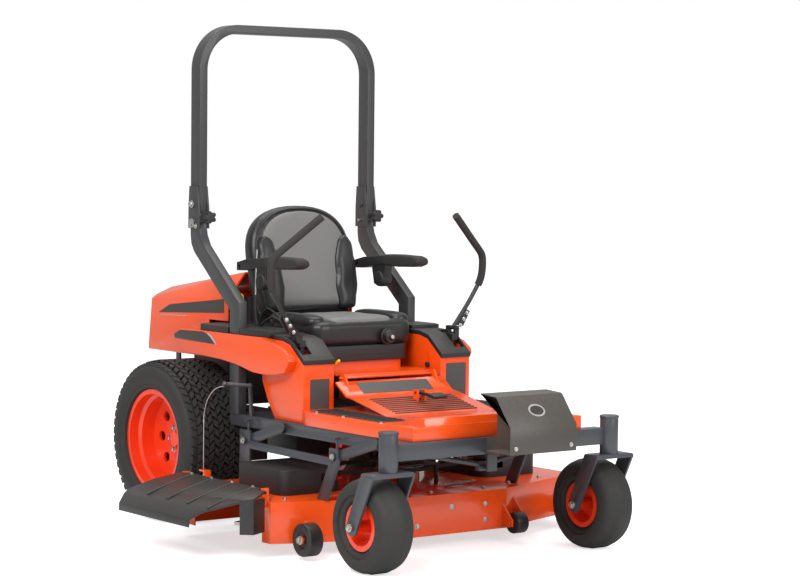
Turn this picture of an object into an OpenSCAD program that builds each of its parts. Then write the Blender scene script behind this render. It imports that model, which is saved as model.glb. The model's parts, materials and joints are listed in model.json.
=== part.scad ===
// Commercial zero-turn mower with a side-discharge deck and a folding roll bar.
// Millimetres. +Z is up, -Y is forward, +X is the machine's left.
// Pieces are laid out from the rear axle line, then moved so that the origin
// is at the middle of the footprint, on the ground.

/* [Running gear] */
// Distance from the rear axle to the caster pivots
pivot_dist = 1517; // [1480:1:1850]
// Half the distance between the two caster pivots
caster_x = 504; // [490:1:610]
// Trail of a caster wheel behind its pivot
caster_trail = 87; // [75:1:105]
// Outer diameter of a caster tyre
caster_tyre_d = 330; // [270:1:334]
// Width of a caster tyre
caster_tyre_w = 146; // [120:1:160]
// Outer diameter of a rear tyre
rear_tyre_d = 635; // [520:1:640]
// Width of a rear tyre
rear_tyre_w = 290; // [240:1:300]
// Middle of a rear tyre, from the machine's middle plane
rear_x = 415; // [410:1:500]

/* [Frame] */
// Outer face of a front rail, from the middle plane
rail_x = 415; // [410:1:440]
// Width of a rail
rail_w = 50; // [40:1:60]
// Underside of the rails
rail_z = 410; // [405:1:420]
// Height of the rails
rail_h = 45; // [36:1:54]
// Depth of the front axle beam
beam_d = 60; // [50:1:72]

/* [Roll bar] */
// Top of the roll bar above the ground
rops_top = 1953; // [1650:1:2350]
// Height of the fold pivots
rops_hinge_z = 1250; // [1200:1:1300]
// Middle of a leg, from the middle plane
rops_x = 402; // [400:1:405]
// Width of the bar seen from the front
rops_w = 35; // [29:1:38]
// Depth of the bar seen from the side
rops_d = 64; // [54:1:70]

/* [Cutting deck] */
// Underside of the deck skirt
deck_z = 50; // [42:1:60]
// Top of the deck shell
deck_top = 200; // [190:1:206]
// Sheet thickness of the deck
deck_t = 5; // [4:0.5:7]
// Length of one blade
blade_l = 486; // [400:1:500]
// Full lift of the deck
deck_lift = 90; // [70:1:90]
// Radius of a spindle shaft
spindle_r = 16; // [13:0.5:19]
// Radius of a spindle pulley
pulley_r = 75; // [62:1:80]

/* [Bodywork] */
// Outer face of the fenders
fender_x = 430; // [425:1:445]
// Outer face of the side consoles
console_x = 390; // [380:1:391]
// Inner face of the side consoles
console_in = 250; // [236:1:258]
// Thickness of a body panel
panel_t = 5; // [4:0.5:6]
// Half the width of the hood
hood_x = 300; // [285:1:320]

/* [Seat] */
// Width of the seat cushion
cushion_w = 490; // [420:1:520]
// Length of the seat cushion
cushion_l = 350; // [300:1:360]
// Thickness of the seat cushion
cushion_h = 115; // [96:1:138]
// Width of the backrest at its widest
back_w = 490; // [420:1:495]
// Height of the backrest above its pivot
back_h = 445; // [370:1:530]
// Lean of the backrest
back_lean = 12; // [8:1:16]

/* [Hidden] */
$fn = 48;
EPS = 0.5;
RUN = 0.05;          // running clearance of a shaft in its bore, on the radius
GAP = 0.3;           // clearance between pieces that only rest on each other
OFF = [50, 632, 0];  // from the rear axle line to the footprint's middle

axle_z = rear_tyre_d / 2;
rail_top = rail_z + rail_h;
beam_y1 = -pivot_dist + 57;
beam_y0 = beam_y1 - beam_d;
console_y = -826;
cross_y = -420;
leg_y = -110;

caster_axle = [-pivot_dist + caster_trail, caster_tyre_d / 2];
fork_in = caster_tyre_w / 2 + 9;
fork_t = 9;
crown_z = 344;
crown_t = 16;
tube_z = [crown_z + crown_t, 490];
tube_r = 34;
stem_r = 14;
bolt_r = 8;

rear_rim_r = 190;
rear_axle_r = 20;
caster_rim_r = 76;

lift_r = 12;
lift_pin_r = 8;
arm_len = 235;
arm_drop = asin(67 / arm_len);
front_pivot = [-1330, rail_z + 22];
rear_pivot = [-740, rail_z + 22];
hanger_x = rail_x + 19;
deck_cx = 90;
spindles = [[deck_cx - 470, -660], [deck_cx, -810], [deck_cx + 470, -660]];
chute_axis = [-645, 235];
chute_pin_r = 5;
roller = [336, -1197, 75];
roller_r = 40;
gauge_dx = 640;
gauge_y = -1100;
gauge_z = 75;
gauge_r = 60;

seat_hinge = [-822, 615];
seat_pin_r = 5;
back_pivot = [-265, 815];
back_pin_r = 6;
arm_pivot = [-255, 1010];
arm_pin_r = 8;
lever_y = -745;
lever_low_z = 640;
lever_x = 370;
lever_top_z = 778;
hood_axis = [470, 630];
hood_pin_r = 5;
hand_pivot = [-315, 738];
brake_x = 355;
throttle_x = 326;
pedal_axis = [-1005, 566];
pedal_x = 15;
cable_end_x = -530;
cable_r = 2;
cable_top = [-505, 572];
cable_drop_y = -362;
cable_foot_z = 208;

// ---------- helpers ----------
// Draws its children for the left side, or mirrored for the right side.
module side(s) {
    if (s < 0) mirror([1, 0, 0]) children();
    else children();
}

// A block given by its lowest and highest corners.
module block(lo, hi) {
    translate(lo) cube(hi - lo);
}

// A flat outline in Y and Z, thickened along X from x0 to x1.
module yz(x0, x1) {
    translate([x0, 0, 0]) rotate([90, 0, 90]) linear_extrude(x1 - x0) children();
}

// A flat outline in X and Z, thickened along Y from y0 to y1.
module xz(y0, y1) {
    translate([0, y1, 0]) rotate([90, 0, 0]) linear_extrude(y1 - y0) children();
}

// A round bar along X, from x0 to x1, at [y, z].
module xrod(x0, x1, p, r) {
    translate([x0, p[0], p[1]]) rotate([0, 90, 0]) cylinder(r = r, h = x1 - x0);
}

// A round bar along Y, from y0 to y1, at [x, z].
module yrod(y0, y1, p, r) {
    translate([p[0], y0, p[1]]) rotate([-90, 0, 0]) cylinder(r = r, h = y1 - y0);
}

// A round bar between two points, with flat ends.
module rod(a, b, r) {
    d = b - a;
    translate(a) rotate([0, acos(d[2] / norm(d)), atan2(d[1], d[0])]) cylinder(r = r, h = norm(d));
}

// A round bar between two points, with round ends.
module bar(a, b, r) {
    rod(a, b, r);
    translate(a) sphere(r = r);
    translate(b) sphere(r = r);
}

// A rectangle with round corners, about its own middle.
module rrect(w, h, r) {
    square([w - 2 * r, h], center = true);
    square([w, h - 2 * r], center = true);
    for (x = [-1, 1], y = [-1, 1]) translate([x * (w / 2 - r), y * (h / 2 - r)]) circle(r = r);
}

// A round bar along the points p, with a ball at each bend.
module bent(p, r) {
    for (i = [0:len(p) - 2]) rod(p[i], p[i + 1], r);
    for (q = p) translate(q) sphere(r = r + 2);
}

// A strip of plate with round ends between two points of a flat outline.
module strip(a, b, r) {
    d = b - a;
    translate(a) rotate(atan2(d[1], d[0])) translate([0, -r]) square([norm(d), 2 * r]);
    translate(a) circle(r = r);
    translate(b) circle(r = r);
}

// ---------- chassis ----------
module frame_rails() color("#4b4d52") translate(OFF) {
    difference() {
        union() {
            for (s = [-1, 1]) side(s) {
                block([rail_x - rail_w, beam_y1, rail_z], [rail_x, cross_y + 50, rail_top]);
                block([200, cross_y, rail_z], [250, 438, rail_top]);
                // seat rest posts
                block([150, cross_y + 15, rail_top - EPS], [180, cross_y + 35, 622 - GAP]);
                // hood hinge plates and pins
                block([134, 437, 385], [142, 456, 520]);
                block([134, 455, 385], [142, 485, 646]);
                xrod(118, 138, hood_axis, hood_pin_r);
                // front stays to the middle bracket
                bar([rail_x - rail_w / 2, -1400, rail_z + 5], [12, -1410, 342], 9);
            }
            block([-rail_x, cross_y, rail_z], [rail_x, cross_y + 50, rail_top]);
            // rear cross plate with the hitch
            difference() {
                block([-250, 430, 385], [250, 438, 520]);
                yrod(420, 450, [0, 425], 10);
            }
            // middle bracket below the beam
            block([-22, beam_y1, 322], [22, beam_y1 + 8, rail_z + 10]);
            block([-22, beam_y1 + 7, 330], [22, -1415, 338]);
            block([-30, -1420, 320], [30, -1398, 352]);
            // cable arm on the right rail
            bent([[-rail_x + 12, -500, rail_top - 10], [-424, -520, 572], [cable_end_x, -508, 582]], 8);
        }
        for (p = [front_pivot, rear_pivot]) xrod(-rail_x - 10, rail_x + 10, p, lift_r + RUN);
    }
}

module front_axle() color("#4b4d52") translate(OFF) difference() {
    union() {
        block([-caster_x + tube_r - 12, beam_y0, rail_z - 15], [caster_x - tube_r + 12, beam_y1, rail_top]);
        for (s = [-1, 1]) translate([s * caster_x, -pivot_dist, tube_z[0]])
            cylinder(r = tube_r, h = tube_z[1] - tube_z[0]);
    }
    block([-caster_x + tube_r + 8, beam_y0 + 5, rail_z - 10], [caster_x - tube_r - 8, beam_y1 - 5, rail_top - 5]);
    for (s = [-1, 1]) translate([s * caster_x, -pivot_dist, tube_z[0] - 1])
        cylinder(r = stem_r + RUN, h = tube_z[1] - tube_z[0] + 2);
}

function floor_half(d) = [[395 - d, console_y - (d > 0 ? -1 : 0)], [420 - d, -890], [420 - d, -1335],
    [385 - d, -1400], [385 - d, beam_y0 + 22 + d]];

module floor_outline(d) {
    h = floor_half(d);
    polygon(concat(h, [for (i = [len(h) - 1:-1:0]) [-h[i][0], h[i][1]]]));
}

module floor_pan() color("#ff5f1e") translate(OFF) {
    difference() {
        translate([0, 0, rail_top]) linear_extrude(50) floor_outline(0);
        translate([0, 0, rail_top - 1]) linear_extrude(46) floor_outline(panel_t);
    }
    yz(-330, 330) polygon([[beam_y0 + 24, rail_top + 49], [beam_y0 + 30, rail_top + 78],
        [beam_y0 + 80, rail_top + 78], [beam_y0 + 130, rail_top + 49]]);
}

module front_panel() color("#ff5f1e") translate(OFF) {
    top = [[-1150, rail_top + 50], [-940, 553], [-905, 556], [-836, 603]];
    low = [for (i = [len(top) - 1:-1:0]) [top[i][0] + 4, max(top[i][1] - 6, rail_top + 50)]];
    yz(-console_in + GAP, console_in - GAP) polygon(concat(top, low));
    // ears that carry the seat platform's pivot rod
    for (s = [-1, 1]) side(s) difference() {
        yz(206, 214) polygon([[-880, 566], [-836, 631], [-808, 631], [-808, 595], [-842, 560]]);
        xrod(200, 220, seat_hinge, seat_pin_r + RUN);
    }
    // clevis for the foot pedal
    difference() {
        for (x = [pedal_x - 20, pedal_x + 14]) block([x, -1020, 530], [x + 6, -990, 578]);
        xrod(pedal_x - 30, pedal_x + 30, pedal_axis, 4 + RUN);
    }
}

module console(s) color("#ff5f1e") translate(OFF) side(s) {
    outline = [[console_y, rail_top], [console_y, 672], [-739, 740], [-690, 752], [-551, 755],
        [-551, 594], [-590, 520], [-640, rail_top]];
    inside = [[console_y + panel_t, rail_top - 5], [console_y + panel_t, 677], [-739, 746], [-690, 760],
        [-540, 760], [-540, rail_top - 5]];
    difference() {
        union() {
            difference() {
                yz(console_in, console_x) polygon(outline);
                yz(console_in + panel_t, console_x - panel_t) polygon(inside);
            }
            xrod(console_x - 16, console_x - 2, [lever_y, lever_low_z], 18);
        }
        xrod(console_in - 5, console_x - 6, [lever_y, lever_low_z], 10 + RUN);
    }
}

module fender(s) color("#ff5f1e") translate(OFF) side(s) difference() {
    union() {
        difference() {
            yz(console_x + GAP, fender_x) polygon([[-30, 760], [-600, 760], [-740, 727], [-784, 700],
                [-790, 683], [-760, 640], [-700, 628], [-620, 622], [-543, 626], [-430, 647], [-317, 658],
                [-30, 669]]);
            yz(console_x, fender_x - panel_t) polygon([[-25, 755], [-600, 755], [-738, 722], [-778, 697],
                [-783, 684], [-757, 646], [-700, 640], [-600, 600], [-25, 600]]);
        }
        // deck of the fender, behind the console
        block([console_in + 5, -545, 755], [console_x + 2, -30, 760]);
    }
    // hole for the roll bar's leg
    block([rops_x - rops_w / 2 - 6, -442, 740], [rops_x + rops_w / 2 + 4, -358, 770]);
    if (s < 0) block([throttle_x - 24, -360, 740], [brake_x + 20, -255, 770]);
}

module top_covers() color("#262628") translate(OFF) for (s = [-1, 1]) side(s) {
    // fender pad
    difference() {
        translate([0, 0, 760]) linear_extrude(24) polygon([[268, -616], [268, -150], [300, -130], [400, -130],
            [422, -160], [422, -560], [400, -616]]);
        block([rops_x - rops_w / 2 - 6, -442, 750], [rops_x + rops_w / 2 + 4, -358, 790]);
        if (s < 0) for (x = [brake_x, throttle_x]) block([x - 8, -360, 750], [x + 8, -255, 790]);
    }
    // console cap with the lever's slot
    difference() {
        yz(console_in, console_x) polygon([[console_y - 6, 672], [console_y - 6, 688], [-745, 756],
            [-690, 768], [-620, 771], [-620, 755], [-690, 752], [-739, 740], [console_y, 672]]);
        block([lever_x - 34, -806, 660], [lever_x + 12, -684, 790]);
    }
    // ears under the fender pad for the hand levers' pin
    if (s < 0) difference() {
        for (x = [throttle_x - 20, throttle_x + 11, brake_x + 11])
            block([x, hand_pivot[0] - 12, 715], [x + 6, hand_pivot[0] + 12, 762]);
        xrod(throttle_x - 30, brake_x + 30, hand_pivot, 4 + RUN);
    }
}

module guard_box() color("#4a4540") translate(OFF) {
    y0 = beam_y0;
    outer = [[y0 - 55, 620], [y0 - 140, 615], [y0 - 225, 513], [y0 - 225, 418], [y0 - 90, 418]];
    inner = [[y0 - 90, 423], [y0 - 220, 423], [y0 - 220, 511], [y0 - 142, 610], [y0 - 55, 615]];
    yz(-150, 150) polygon(concat(outer, inner));
    for (s = [-1, 1]) side(s) {
        yz(70, 78) polygon([[y0, rail_z - 15], [y0, rail_top], [y0 - 60, 470], [y0 - 60, 617],
            [y0 - 100, 614], [y0 - 221, 480], [y0 - 221, 419], [y0 - 90, 419], [y0 - 60, 395]]);
    }
}

module rops_legs() color("#555555") translate(OFF) for (s = [-1, 1]) side(s) {
    x0 = rops_x - rops_w / 2;
    x1 = rops_x + rops_w / 2;
    hd = rops_d / 2;
    top = rops_hinge_z - 53;
    difference() {
        union() {
            yz(x0, x1) polygon([[leg_y - hd, top], [leg_y - hd, 1160], [leg_y - hd - 8, 1130],
                [leg_y - hd - 33, 1090], [-400 - hd, 880], [-400 - hd, rail_top], [-400 + hd, rail_top],
                [-400 + hd, 850], [leg_y + hd - 27, 1064], [leg_y + hd - 6, 1095], [leg_y + hd, 1130],
                [leg_y + hd, top]]);
            // pivot bracket plates
            for (x = [x0 - 7, x1]) yz(x, x + 7) polygon([[leg_y - hd - 8, rops_hinge_z - 95],
                [leg_y - hd - 8, rops_hinge_z - 20], [leg_y - hd + 6, rops_hinge_z + 70],
                [leg_y + hd, rops_hinge_z + 70], [leg_y + hd + 6, rops_hinge_z - 20],
                [leg_y + hd + 6, rops_hinge_z - 95]]);
            // front bridge that carries the knob
            block([x0 - 7, leg_y - hd - 14, rops_hinge_z - 70], [x1 + 7, leg_y - hd - 8, rops_hinge_z - 36]);
            // pivot bolt
            xrod(x0 - 14, x1 + 14, [leg_y, rops_hinge_z], 8);
            for (x = [x0 - 15, x1 + 7]) xrod(x, x + 8, [leg_y, rops_hinge_z], 15);
        }
        // seats of the lock pin and the knob
        xrod(x0 - 20, x1 + 20, [leg_y, rops_hinge_z - 68], 6 + RUN);
        yrod(leg_y - hd - 30, leg_y - hd + 1, [rops_x, rops_hinge_z - 50], 6 + RUN);
    }
}

// Front outline of the folding hoop, drawn t inside its outer faces.
module hoop_outline(t) {
    bend = 180;
    w = 2 * rops_x + rops_w - 2 * GAP;
    wall = rops_w - 2 * GAP;
    h = rops_top - rops_hinge_z + 38;
    z0 = t > 0 ? -1 : 0;
    difference() {
        union() {
            translate([-w / 2 + t, z0]) square([w - 2 * t, h - bend - z0]);
            translate([-w / 2 + bend, h - bend - EPS]) square([w - 2 * bend, bend - t + EPS]);
            for (s = [-1, 1]) translate([s * (w / 2 - bend), h - bend]) circle(r = bend - t, $fn = 96);
        }
        translate([-w / 2 + wall - t, -2]) square([w - 2 * (wall - t), h - bend + 2]);
        translate([-w / 2 + bend, 0]) square([w - 2 * bend, h - wall + t]);
        for (s = [-1, 1]) translate([s * (w / 2 - bend), h - bend]) circle(r = bend - wall + t, $fn = 96);
    }
}

module rops_hoop() color("#555555") translate(OFF) difference() {
    xz(leg_y - rops_d / 2, leg_y + rops_d / 2) translate([0, rops_hinge_z - 38]) hoop_outline(0);
    xz(leg_y - rops_d / 2 + 4, leg_y + rops_d / 2 - 4) translate([0, rops_hinge_z - 38]) hoop_outline(4);
    xrod(-rops_x - rops_w, rops_x + rops_w, [leg_y, rops_hinge_z], 8 + RUN);
}

module rops_pin(s) color("silver") translate(OFF) side(s) {
    x0 = rops_x - rops_w / 2 - 7;
    x1 = rops_x + rops_w / 2 + 7;
    p = [leg_y, rops_hinge_z - 68];
    xrod(x0 - 12, x1 + 1, p, 6);
    xrod(x1 + GAP, x1 + 8, p, 12);
    difference() {
        translate([x1 + 7, p[0] - 16, p[1] - 22]) cube([3, 32, 30]);
        xrod(x1 + 6, x1 + 12, [p[0], p[1] - 8], 8);
    }
}

module rops_knob(s) color("#1c1c1e") translate(OFF) side(s) {
    y1 = leg_y - rops_d / 2 - 14;
    yrod(y1 - 12, leg_y - rops_d / 2 - 3, [rops_x, rops_hinge_z - 50], 6);
    yrod(y1 - 24, y1 - GAP, [rops_x, rops_hinge_z - 50], 12);
    translate([rops_x, y1 - 21, rops_hinge_z - 50]) rotate([90, 0, 0]) linear_extrude(25) {
        circle(r = 17);
        for (k = [0:4]) rotate(72 * k) translate([16, 0]) circle(r = 9);
    }
}

// ---------- power train ----------
module engine() color("#3a3d42") translate(OFF) {
    // block, head, flywheel housing and feet
    block([-150, 60, 470], [150, 330, 700]);
    block([-120, 80, 699], [120, 310, 770]);
    block([-250, 90, rail_top], [250, 130, 475]);
    block([-250, 270, rail_top], [250, 310, 475]);
    yrod(-20, 62, [0, 580], 90);
    // radiator on its own foot
    block([-190, -150, 500], [190, -95, 880]);
    block([-250, -150, rail_top], [250, -95, 501]);
}

module fuel_tank() color("#242426") translate(OFF)
    yz(262, 374) polygon([[-540, rail_top], [-540, 740], [-526, 754.7], [-54, 754.7], [-40, 740], [-40, 655],
        [-345, 655], [-372, 620], [-372, rail_top]]);

module transaxles() color("#34363a") translate(OFF) for (s = [-1, 1]) side(s) difference() {
    union() {
        block([70, -110, axle_z - 95], [236, 110, rail_z]);
        block([200, -80, rail_z - 20], [250, 80, rail_z]);
        xrod(230, 262, [0, axle_z], 46);
    }
    xrod(150, 270, [0, axle_z], rear_axle_r + RUN);
}

// A quarter bend off the arm on the rail, then a straight drop through the deck's eye.
module chute_cable() color("#9a9ca0") translate(OFF + [cable_end_x, 0, 0]) {
    bend = cable_drop_y - cable_top[0];
    bend_z = cable_top[1] - bend;
    translate([0, cable_top[0], bend_z]) rotate([90, 0, 90]) rotate_extrude(angle = 90)
        translate([bend, 0]) circle(r = cable_r);
    translate([0, cable_drop_y, bend_z - 5]) cylinder(r = cable_r + 1.2, h = 10);
    translate([0, cable_drop_y, cable_foot_z]) cylinder(r = cable_r, h = bend_z - 1 - cable_foot_z);
    translate([0, cable_drop_y, cable_foot_z]) cylinder(r = cable_r + 2, h = 14.4);
}

// ---------- wheels ----------
function tyre_section(bead, outer, w) = [[bead, -w / 2 + 30 + GAP], [bead + 13, -w / 2 + 30 + GAP],
    [bead + 15, -w / 2 + 14],
    [bead + (outer - bead) * 0.45, -w / 2], [outer - (outer - bead) * 0.22, -w / 2 + 4],
    [outer - (outer - bead) * 0.06, -w / 2 + 18], [outer, -w / 2 + 40], [outer, w / 2 - 40],
    [outer - (outer - bead) * 0.06, w / 2 - 18], [outer - (outer - bead) * 0.22, w / 2 - 4],
    [bead + (outer - bead) * 0.45, w / 2], [bead + 15, w / 2 - 14], [bead + 13, w / 2 - 30 - GAP],
    [bead, w / 2 - 30 - GAP]];

module tyre(bead, outer, w, hollow) rotate([0, 90, 0]) difference() {
    rotate_extrude($fn = 96) polygon(tyre_section(bead, outer, w));
    rotate_extrude($fn = 96) polygon([[bead - 1, -w / 2 + hollow + 30], [outer - hollow, -w / 2 + hollow + 12],
        [outer - hollow, w / 2 - hollow - 12], [bead - 1, w / 2 - hollow - 30]]);
}

module rear_tyre(s) color("#3a3936") translate(OFF) side(s) translate([rear_x, 0, axle_z])
    tyre(rear_rim_r, rear_tyre_d / 2, rear_tyre_w, 18);

// Pressed rim with a deep dish, a hub and the axle shaft.
module rear_rim(s) color("#ff3c0f") translate(OFF) side(s) translate([rear_x, 0, axle_z]) rotate([0, 90, 0]) {
    hw = rear_tyre_w / 2;
    difference() {
        union() {
            rotate_extrude($fn = 96) polygon([[rear_rim_r - 6, -hw + 22], [rear_rim_r + 12, -hw + 22],
                [rear_rim_r + 12, -hw + 27], [rear_rim_r, -hw + 30], [rear_rim_r, hw - 30],
                [rear_rim_r + 12, hw - 27], [rear_rim_r + 12, hw - 22], [rear_rim_r - 6, hw - 22],
                [rear_rim_r - 8, hw - 60], [170, hw - 70], [168, 20], [60, 6], [60, -4], [172, 8],
                [rear_rim_r - 8, -20]]);
            translate([0, 0, -4]) cylinder(r = 62, h = 12);
            translate([0, 0, 7]) cylinder(r = 30, h = 22);
        }
        // vent holes
        for (k = [0:7]) rotate(45 * k) translate([115, 0, -30]) cylinder(r = 20, h = 80);
    }
    for (k = [0:4]) rotate(72 * k) translate([45, 0, 7]) cylinder(r = 9, h = 12);
    translate([0, 0, -rear_x + 165]) cylinder(r = rear_axle_r, h = rear_x - 160);
}

module caster_tyre(s) color("#3a3936") translate(OFF)
    translate([s * caster_x, caster_axle[0], caster_axle[1]])
        tyre(caster_rim_r, caster_tyre_d / 2, caster_tyre_w, 12);

module caster_rim(s) color("#ff3c0f") translate(OFF)
    translate([s * caster_x, caster_axle[0], caster_axle[1]]) rotate([0, 90, 0]) {
        hw = caster_tyre_w / 2;
        difference() {
            union() {
                rotate_extrude($fn = 72) polygon([[68, -hw + 18], [86, -hw + 18], [86, -hw + 23],
                    [caster_rim_r, -hw + 30], [caster_rim_r, hw - 30], [86, hw - 23], [86, hw - 18],
                    [68, hw - 18], [62, hw - 34], [58, 5], [20, 4], [20, -4], [58, -5], [62, -hw + 34]]);
                translate([0, 0, -hw - 3]) cylinder(r = 22, h = caster_tyre_w + 6);
            }
            translate([0, 0, -hw - 5]) cylinder(r = bolt_r + RUN, h = caster_tyre_w + 10);
        }
    }

module caster_fork(s) color("#4b4d52") translate(OFF) {
    x0 = fork_in;
    x1 = fork_in + fork_t;
    translate([s * caster_x, 0, 0]) {
        difference() {
            block([-x1, -pivot_dist - 36, crown_z], [x1, -pivot_dist + 36, crown_z + crown_t - GAP]);
            for (m = [-1, 1]) side(m) difference() {
                block([x1 - 12, -pivot_dist - 40, crown_z + 4], [x1 + 1, -pivot_dist + 40, crown_z + 20]);
                yrod(-pivot_dist - 50, -pivot_dist + 50, [x1 - 12, crown_z + 4], 12 - GAP);
            }
        }
        for (m = [-1, 1]) side(m) yz(x0, x1) {
            polygon([[-pivot_dist - 36, crown_z + 4], [-pivot_dist + 36, crown_z + 4],
                [caster_axle[0] + 30, caster_axle[1] + 8], [caster_axle[0] - 27, caster_axle[1] - 8]]);
            translate(caster_axle) circle(r = 30);
        }
        xrod(-x1 - 8, x1 + 8, caster_axle, bolt_r);
        for (x = [-x1 - 10, x1]) xrod(x, x + 10, caster_axle, 14);
        translate([0, -pivot_dist, crown_z + 2]) cylinder(r = stem_r, h = tube_z[1] - crown_z + 10);
        translate([0, -pivot_dist, tube_z[1] + GAP]) cylinder(r = 27, h = 10);
    }
}

// ---------- steering levers ----------
module lever_base(s) color("#2e3034") translate(OFF) side(s) {
    xrod(console_in - 8, console_x - 7, [lever_y, lever_low_z], 10);
    xrod(console_in + 30, console_in + 110, [lever_y, lever_low_z], 18);
    block([lever_x - 26, lever_y - 20, lever_low_z], [lever_x - 10, lever_y + 20, lever_top_z - 34]);
    block([lever_x - 26, lever_y - 30, lever_top_z - 44], [lever_x, lever_y + 30, lever_top_z - 20]);
    for (y = [lever_y - 30, lever_y + 18])
        block([lever_x - 12, y, lever_top_z - 30], [lever_x + 8, y + 12, lever_top_z + 9]);
    yrod(lever_y - 34, lever_y + 34, [lever_x, lever_top_z], 6);
}

module control_lever(s) color("#2b2b2d") translate(OFF) side(s) {
    difference() {
        union() {
            yrod(lever_y - 17, lever_y + 17, [lever_x, lever_top_z], 14);
            bent([[lever_x + 6, lever_y, lever_top_z + 8], [486, -757, 950]], 9);
        }
        yrod(lever_y - 40, lever_y + 40, [lever_x, lever_top_z], 6 + RUN);
    }
    bent([[486, -757, 950], [496, -768, 1060], [310, -830, 1220]], 14);
}

// ---------- cutting deck ----------
function deck_outline(d) = [[-635 + d, -385 - d], [-635 + d, -985 + d], [-560 + d / 2, -1015 + d],
    [-420 + d / 2, -1060 + d], [-200, -1150 + d], [320, -1150 + d], [540 - d / 2, -1060 + d],
    [680 - d / 2, -1015 + d], [760 - d, -985 + d], [815 - d, -930 + d], [815 - d, -385 - d]];

module deck_shell() color("#ff5f1e") translate(OFF) difference() {
    union() {
        difference() {
            translate([0, 0, deck_z]) linear_extrude(deck_top - deck_z) polygon(deck_outline(0));
            translate([0, 0, deck_z - 1]) linear_extrude(deck_top - deck_t - deck_z + 1)
                polygon(deck_outline(deck_t));
            // discharge opening
            block([-700, -930, deck_z - 2], [-600, -470, deck_top - 30]);
        }
        for (c = spindles) translate([c[0], c[1], deck_top - EPS]) cylinder(r = 60, h = 40 + EPS);
        // chute hinge lugs
        for (y = [-960, -420]) block([-655, y, deck_top - 20], [-625, y + 8, 250]);
        // brackets of the front roller
        for (x = [roller[0] - 38, roller[0] + 30]) yz(x, x + 8)
            polygon([[-1122, 66], [-1122, 170], [roller[1] - 14, 88], [roller[1] - 14, 62], [roller[1] + 10, 58]]);
        xrod(roller[0] - 44, roller[0] + 44, [roller[1], roller[2]], 6);
        // gauge wheel arms with stub axles
        for (s = [-1, 1]) translate([deck_cx, 0, 0]) side(s) {
            yz(gauge_dx - 40, gauge_dx - 32) polygon([[-995, 60], [-995, 150], [gauge_y + 10, 100],
                [gauge_y - 20, 92], [gauge_y - 20, 58], [gauge_y, 52]]);
            xrod(gauge_dx - 36, gauge_dx + 34, [gauge_y, gauge_z], 8);
            xrod(gauge_dx + 28 + GAP, gauge_dx + 34, [gauge_y, gauge_z], 16);
        }
        // eye of the chute cable
        block([cable_end_x - 14, -392, deck_top - 20], [cable_end_x + 14, -384, 243]);
        block([cable_end_x - 14, -388, 237], [cable_end_x + 14, -352, 243]);
    }
    for (c = spindles) translate([c[0], c[1], deck_top - 30]) cylinder(r = spindle_r + RUN, h = 90);
    yrod(-970, -400, chute_axis, chute_pin_r + RUN);
    translate([cable_end_x, -362, 230]) cylinder(r = 7, h = 20);
}

module belt_covers() color("#242426") translate(OFF) for (c = [spindles[0], spindles[2]]) {
    s = c[0] < 0 ? 1 : -1;
    translate([c[0], c[1], deck_top]) difference() {
        translate([0, -60, 0]) linear_extrude(92) rrect(270, 320, 40);
        translate([0, -60, -1]) linear_extrude(88) rrect(262, 312, 36);
        // way out for the belt
        block([s > 0 ? 40 : -140, -230, 34], [s > 0 ? 140 : -40, 110, 72]);
    }
}

module deck_gearbox() color("#34363a") translate(OFF) translate([spindles[1][0], spindles[1][1], 0]) difference() {
    union() {
        for (x = [-1, 1], y = [-1, 1]) translate([88 * x, 88 * y, deck_top]) cylinder(r = 8, h = 77);
        block([-98, -98, 274], [98, 98, 280]);
        block([-55, -55, 279], [55, 55, 318]);
        yrod(54, 120, [0, 298], 15);
    }
    translate([0, 0, 270]) cylinder(r = spindle_r + RUN, h = 32);
}

module belt_outline(r) hull() for (c = spindles) translate(c) circle(r = r, $fn = 64);

module deck_belt() color("#1b1b1c") translate(OFF) translate([0, 0, 250]) linear_extrude(14) difference() {
    belt_outline(pulley_r + 10);
    belt_outline(pulley_r + 0.4);
}

module deck_hangers() color("#3f4146") translate(OFF) for (s = [-1, 1]) side(s) {
    x0 = hanger_x;
    x1 = hanger_x + 10;
    difference() {
        yz(x0, x1) {
            // front and rear uprights with their slots, and the bar between them
            polygon([[-1060, deck_top], [-1000, deck_top], [-1075, 340], [-1075, 395], [-1130, 395], [-1130, 335]]);
            polygon([[-550, deck_top], [-480, deck_top], [-480, 405], [-550, 405]]);
            strip([-1090, 345], [-525, 352], 14);
        }
        for (y = [front_pivot[0], rear_pivot[0]]) {
            y0 = y + arm_len * cos(arm_drop);
            // the slot's upper edge rests on the lift arm's pin
            yz(x0 - 1, x1 + 1) translate([0, front_pivot[1] - arm_len * sin(arm_drop) - 2 + GAP])
                strip([y0 - 1, 0], [y0 + 12, 0], lift_pin_r + 2);
        }
    }
    // height screws
    for (p = [[-1118, 394], [-535, 404]]) translate([x0 + 5, p[0], p[1]]) {
        cylinder(r = 4, h = 42);
        translate([-14, -4, 34]) cube([28, 8, 8]);
    }
}

module lift_arm(p) color("#3f4146") translate(OFF) {
    e = p + arm_len * [cos(arm_drop), -sin(arm_drop)];
    xrod(-rail_x - 10, rail_x + 10, p, lift_r);
    for (s = [-1, 1]) side(s) {
        yz(rail_x + 7, hanger_x - 2) strip(p, e, 19);
        xrod(rail_x + 10, hanger_x + 18, e, lift_pin_r);
        xrod(hanger_x + 11, hanger_x + 18, e, 13);
    }
}

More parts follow.
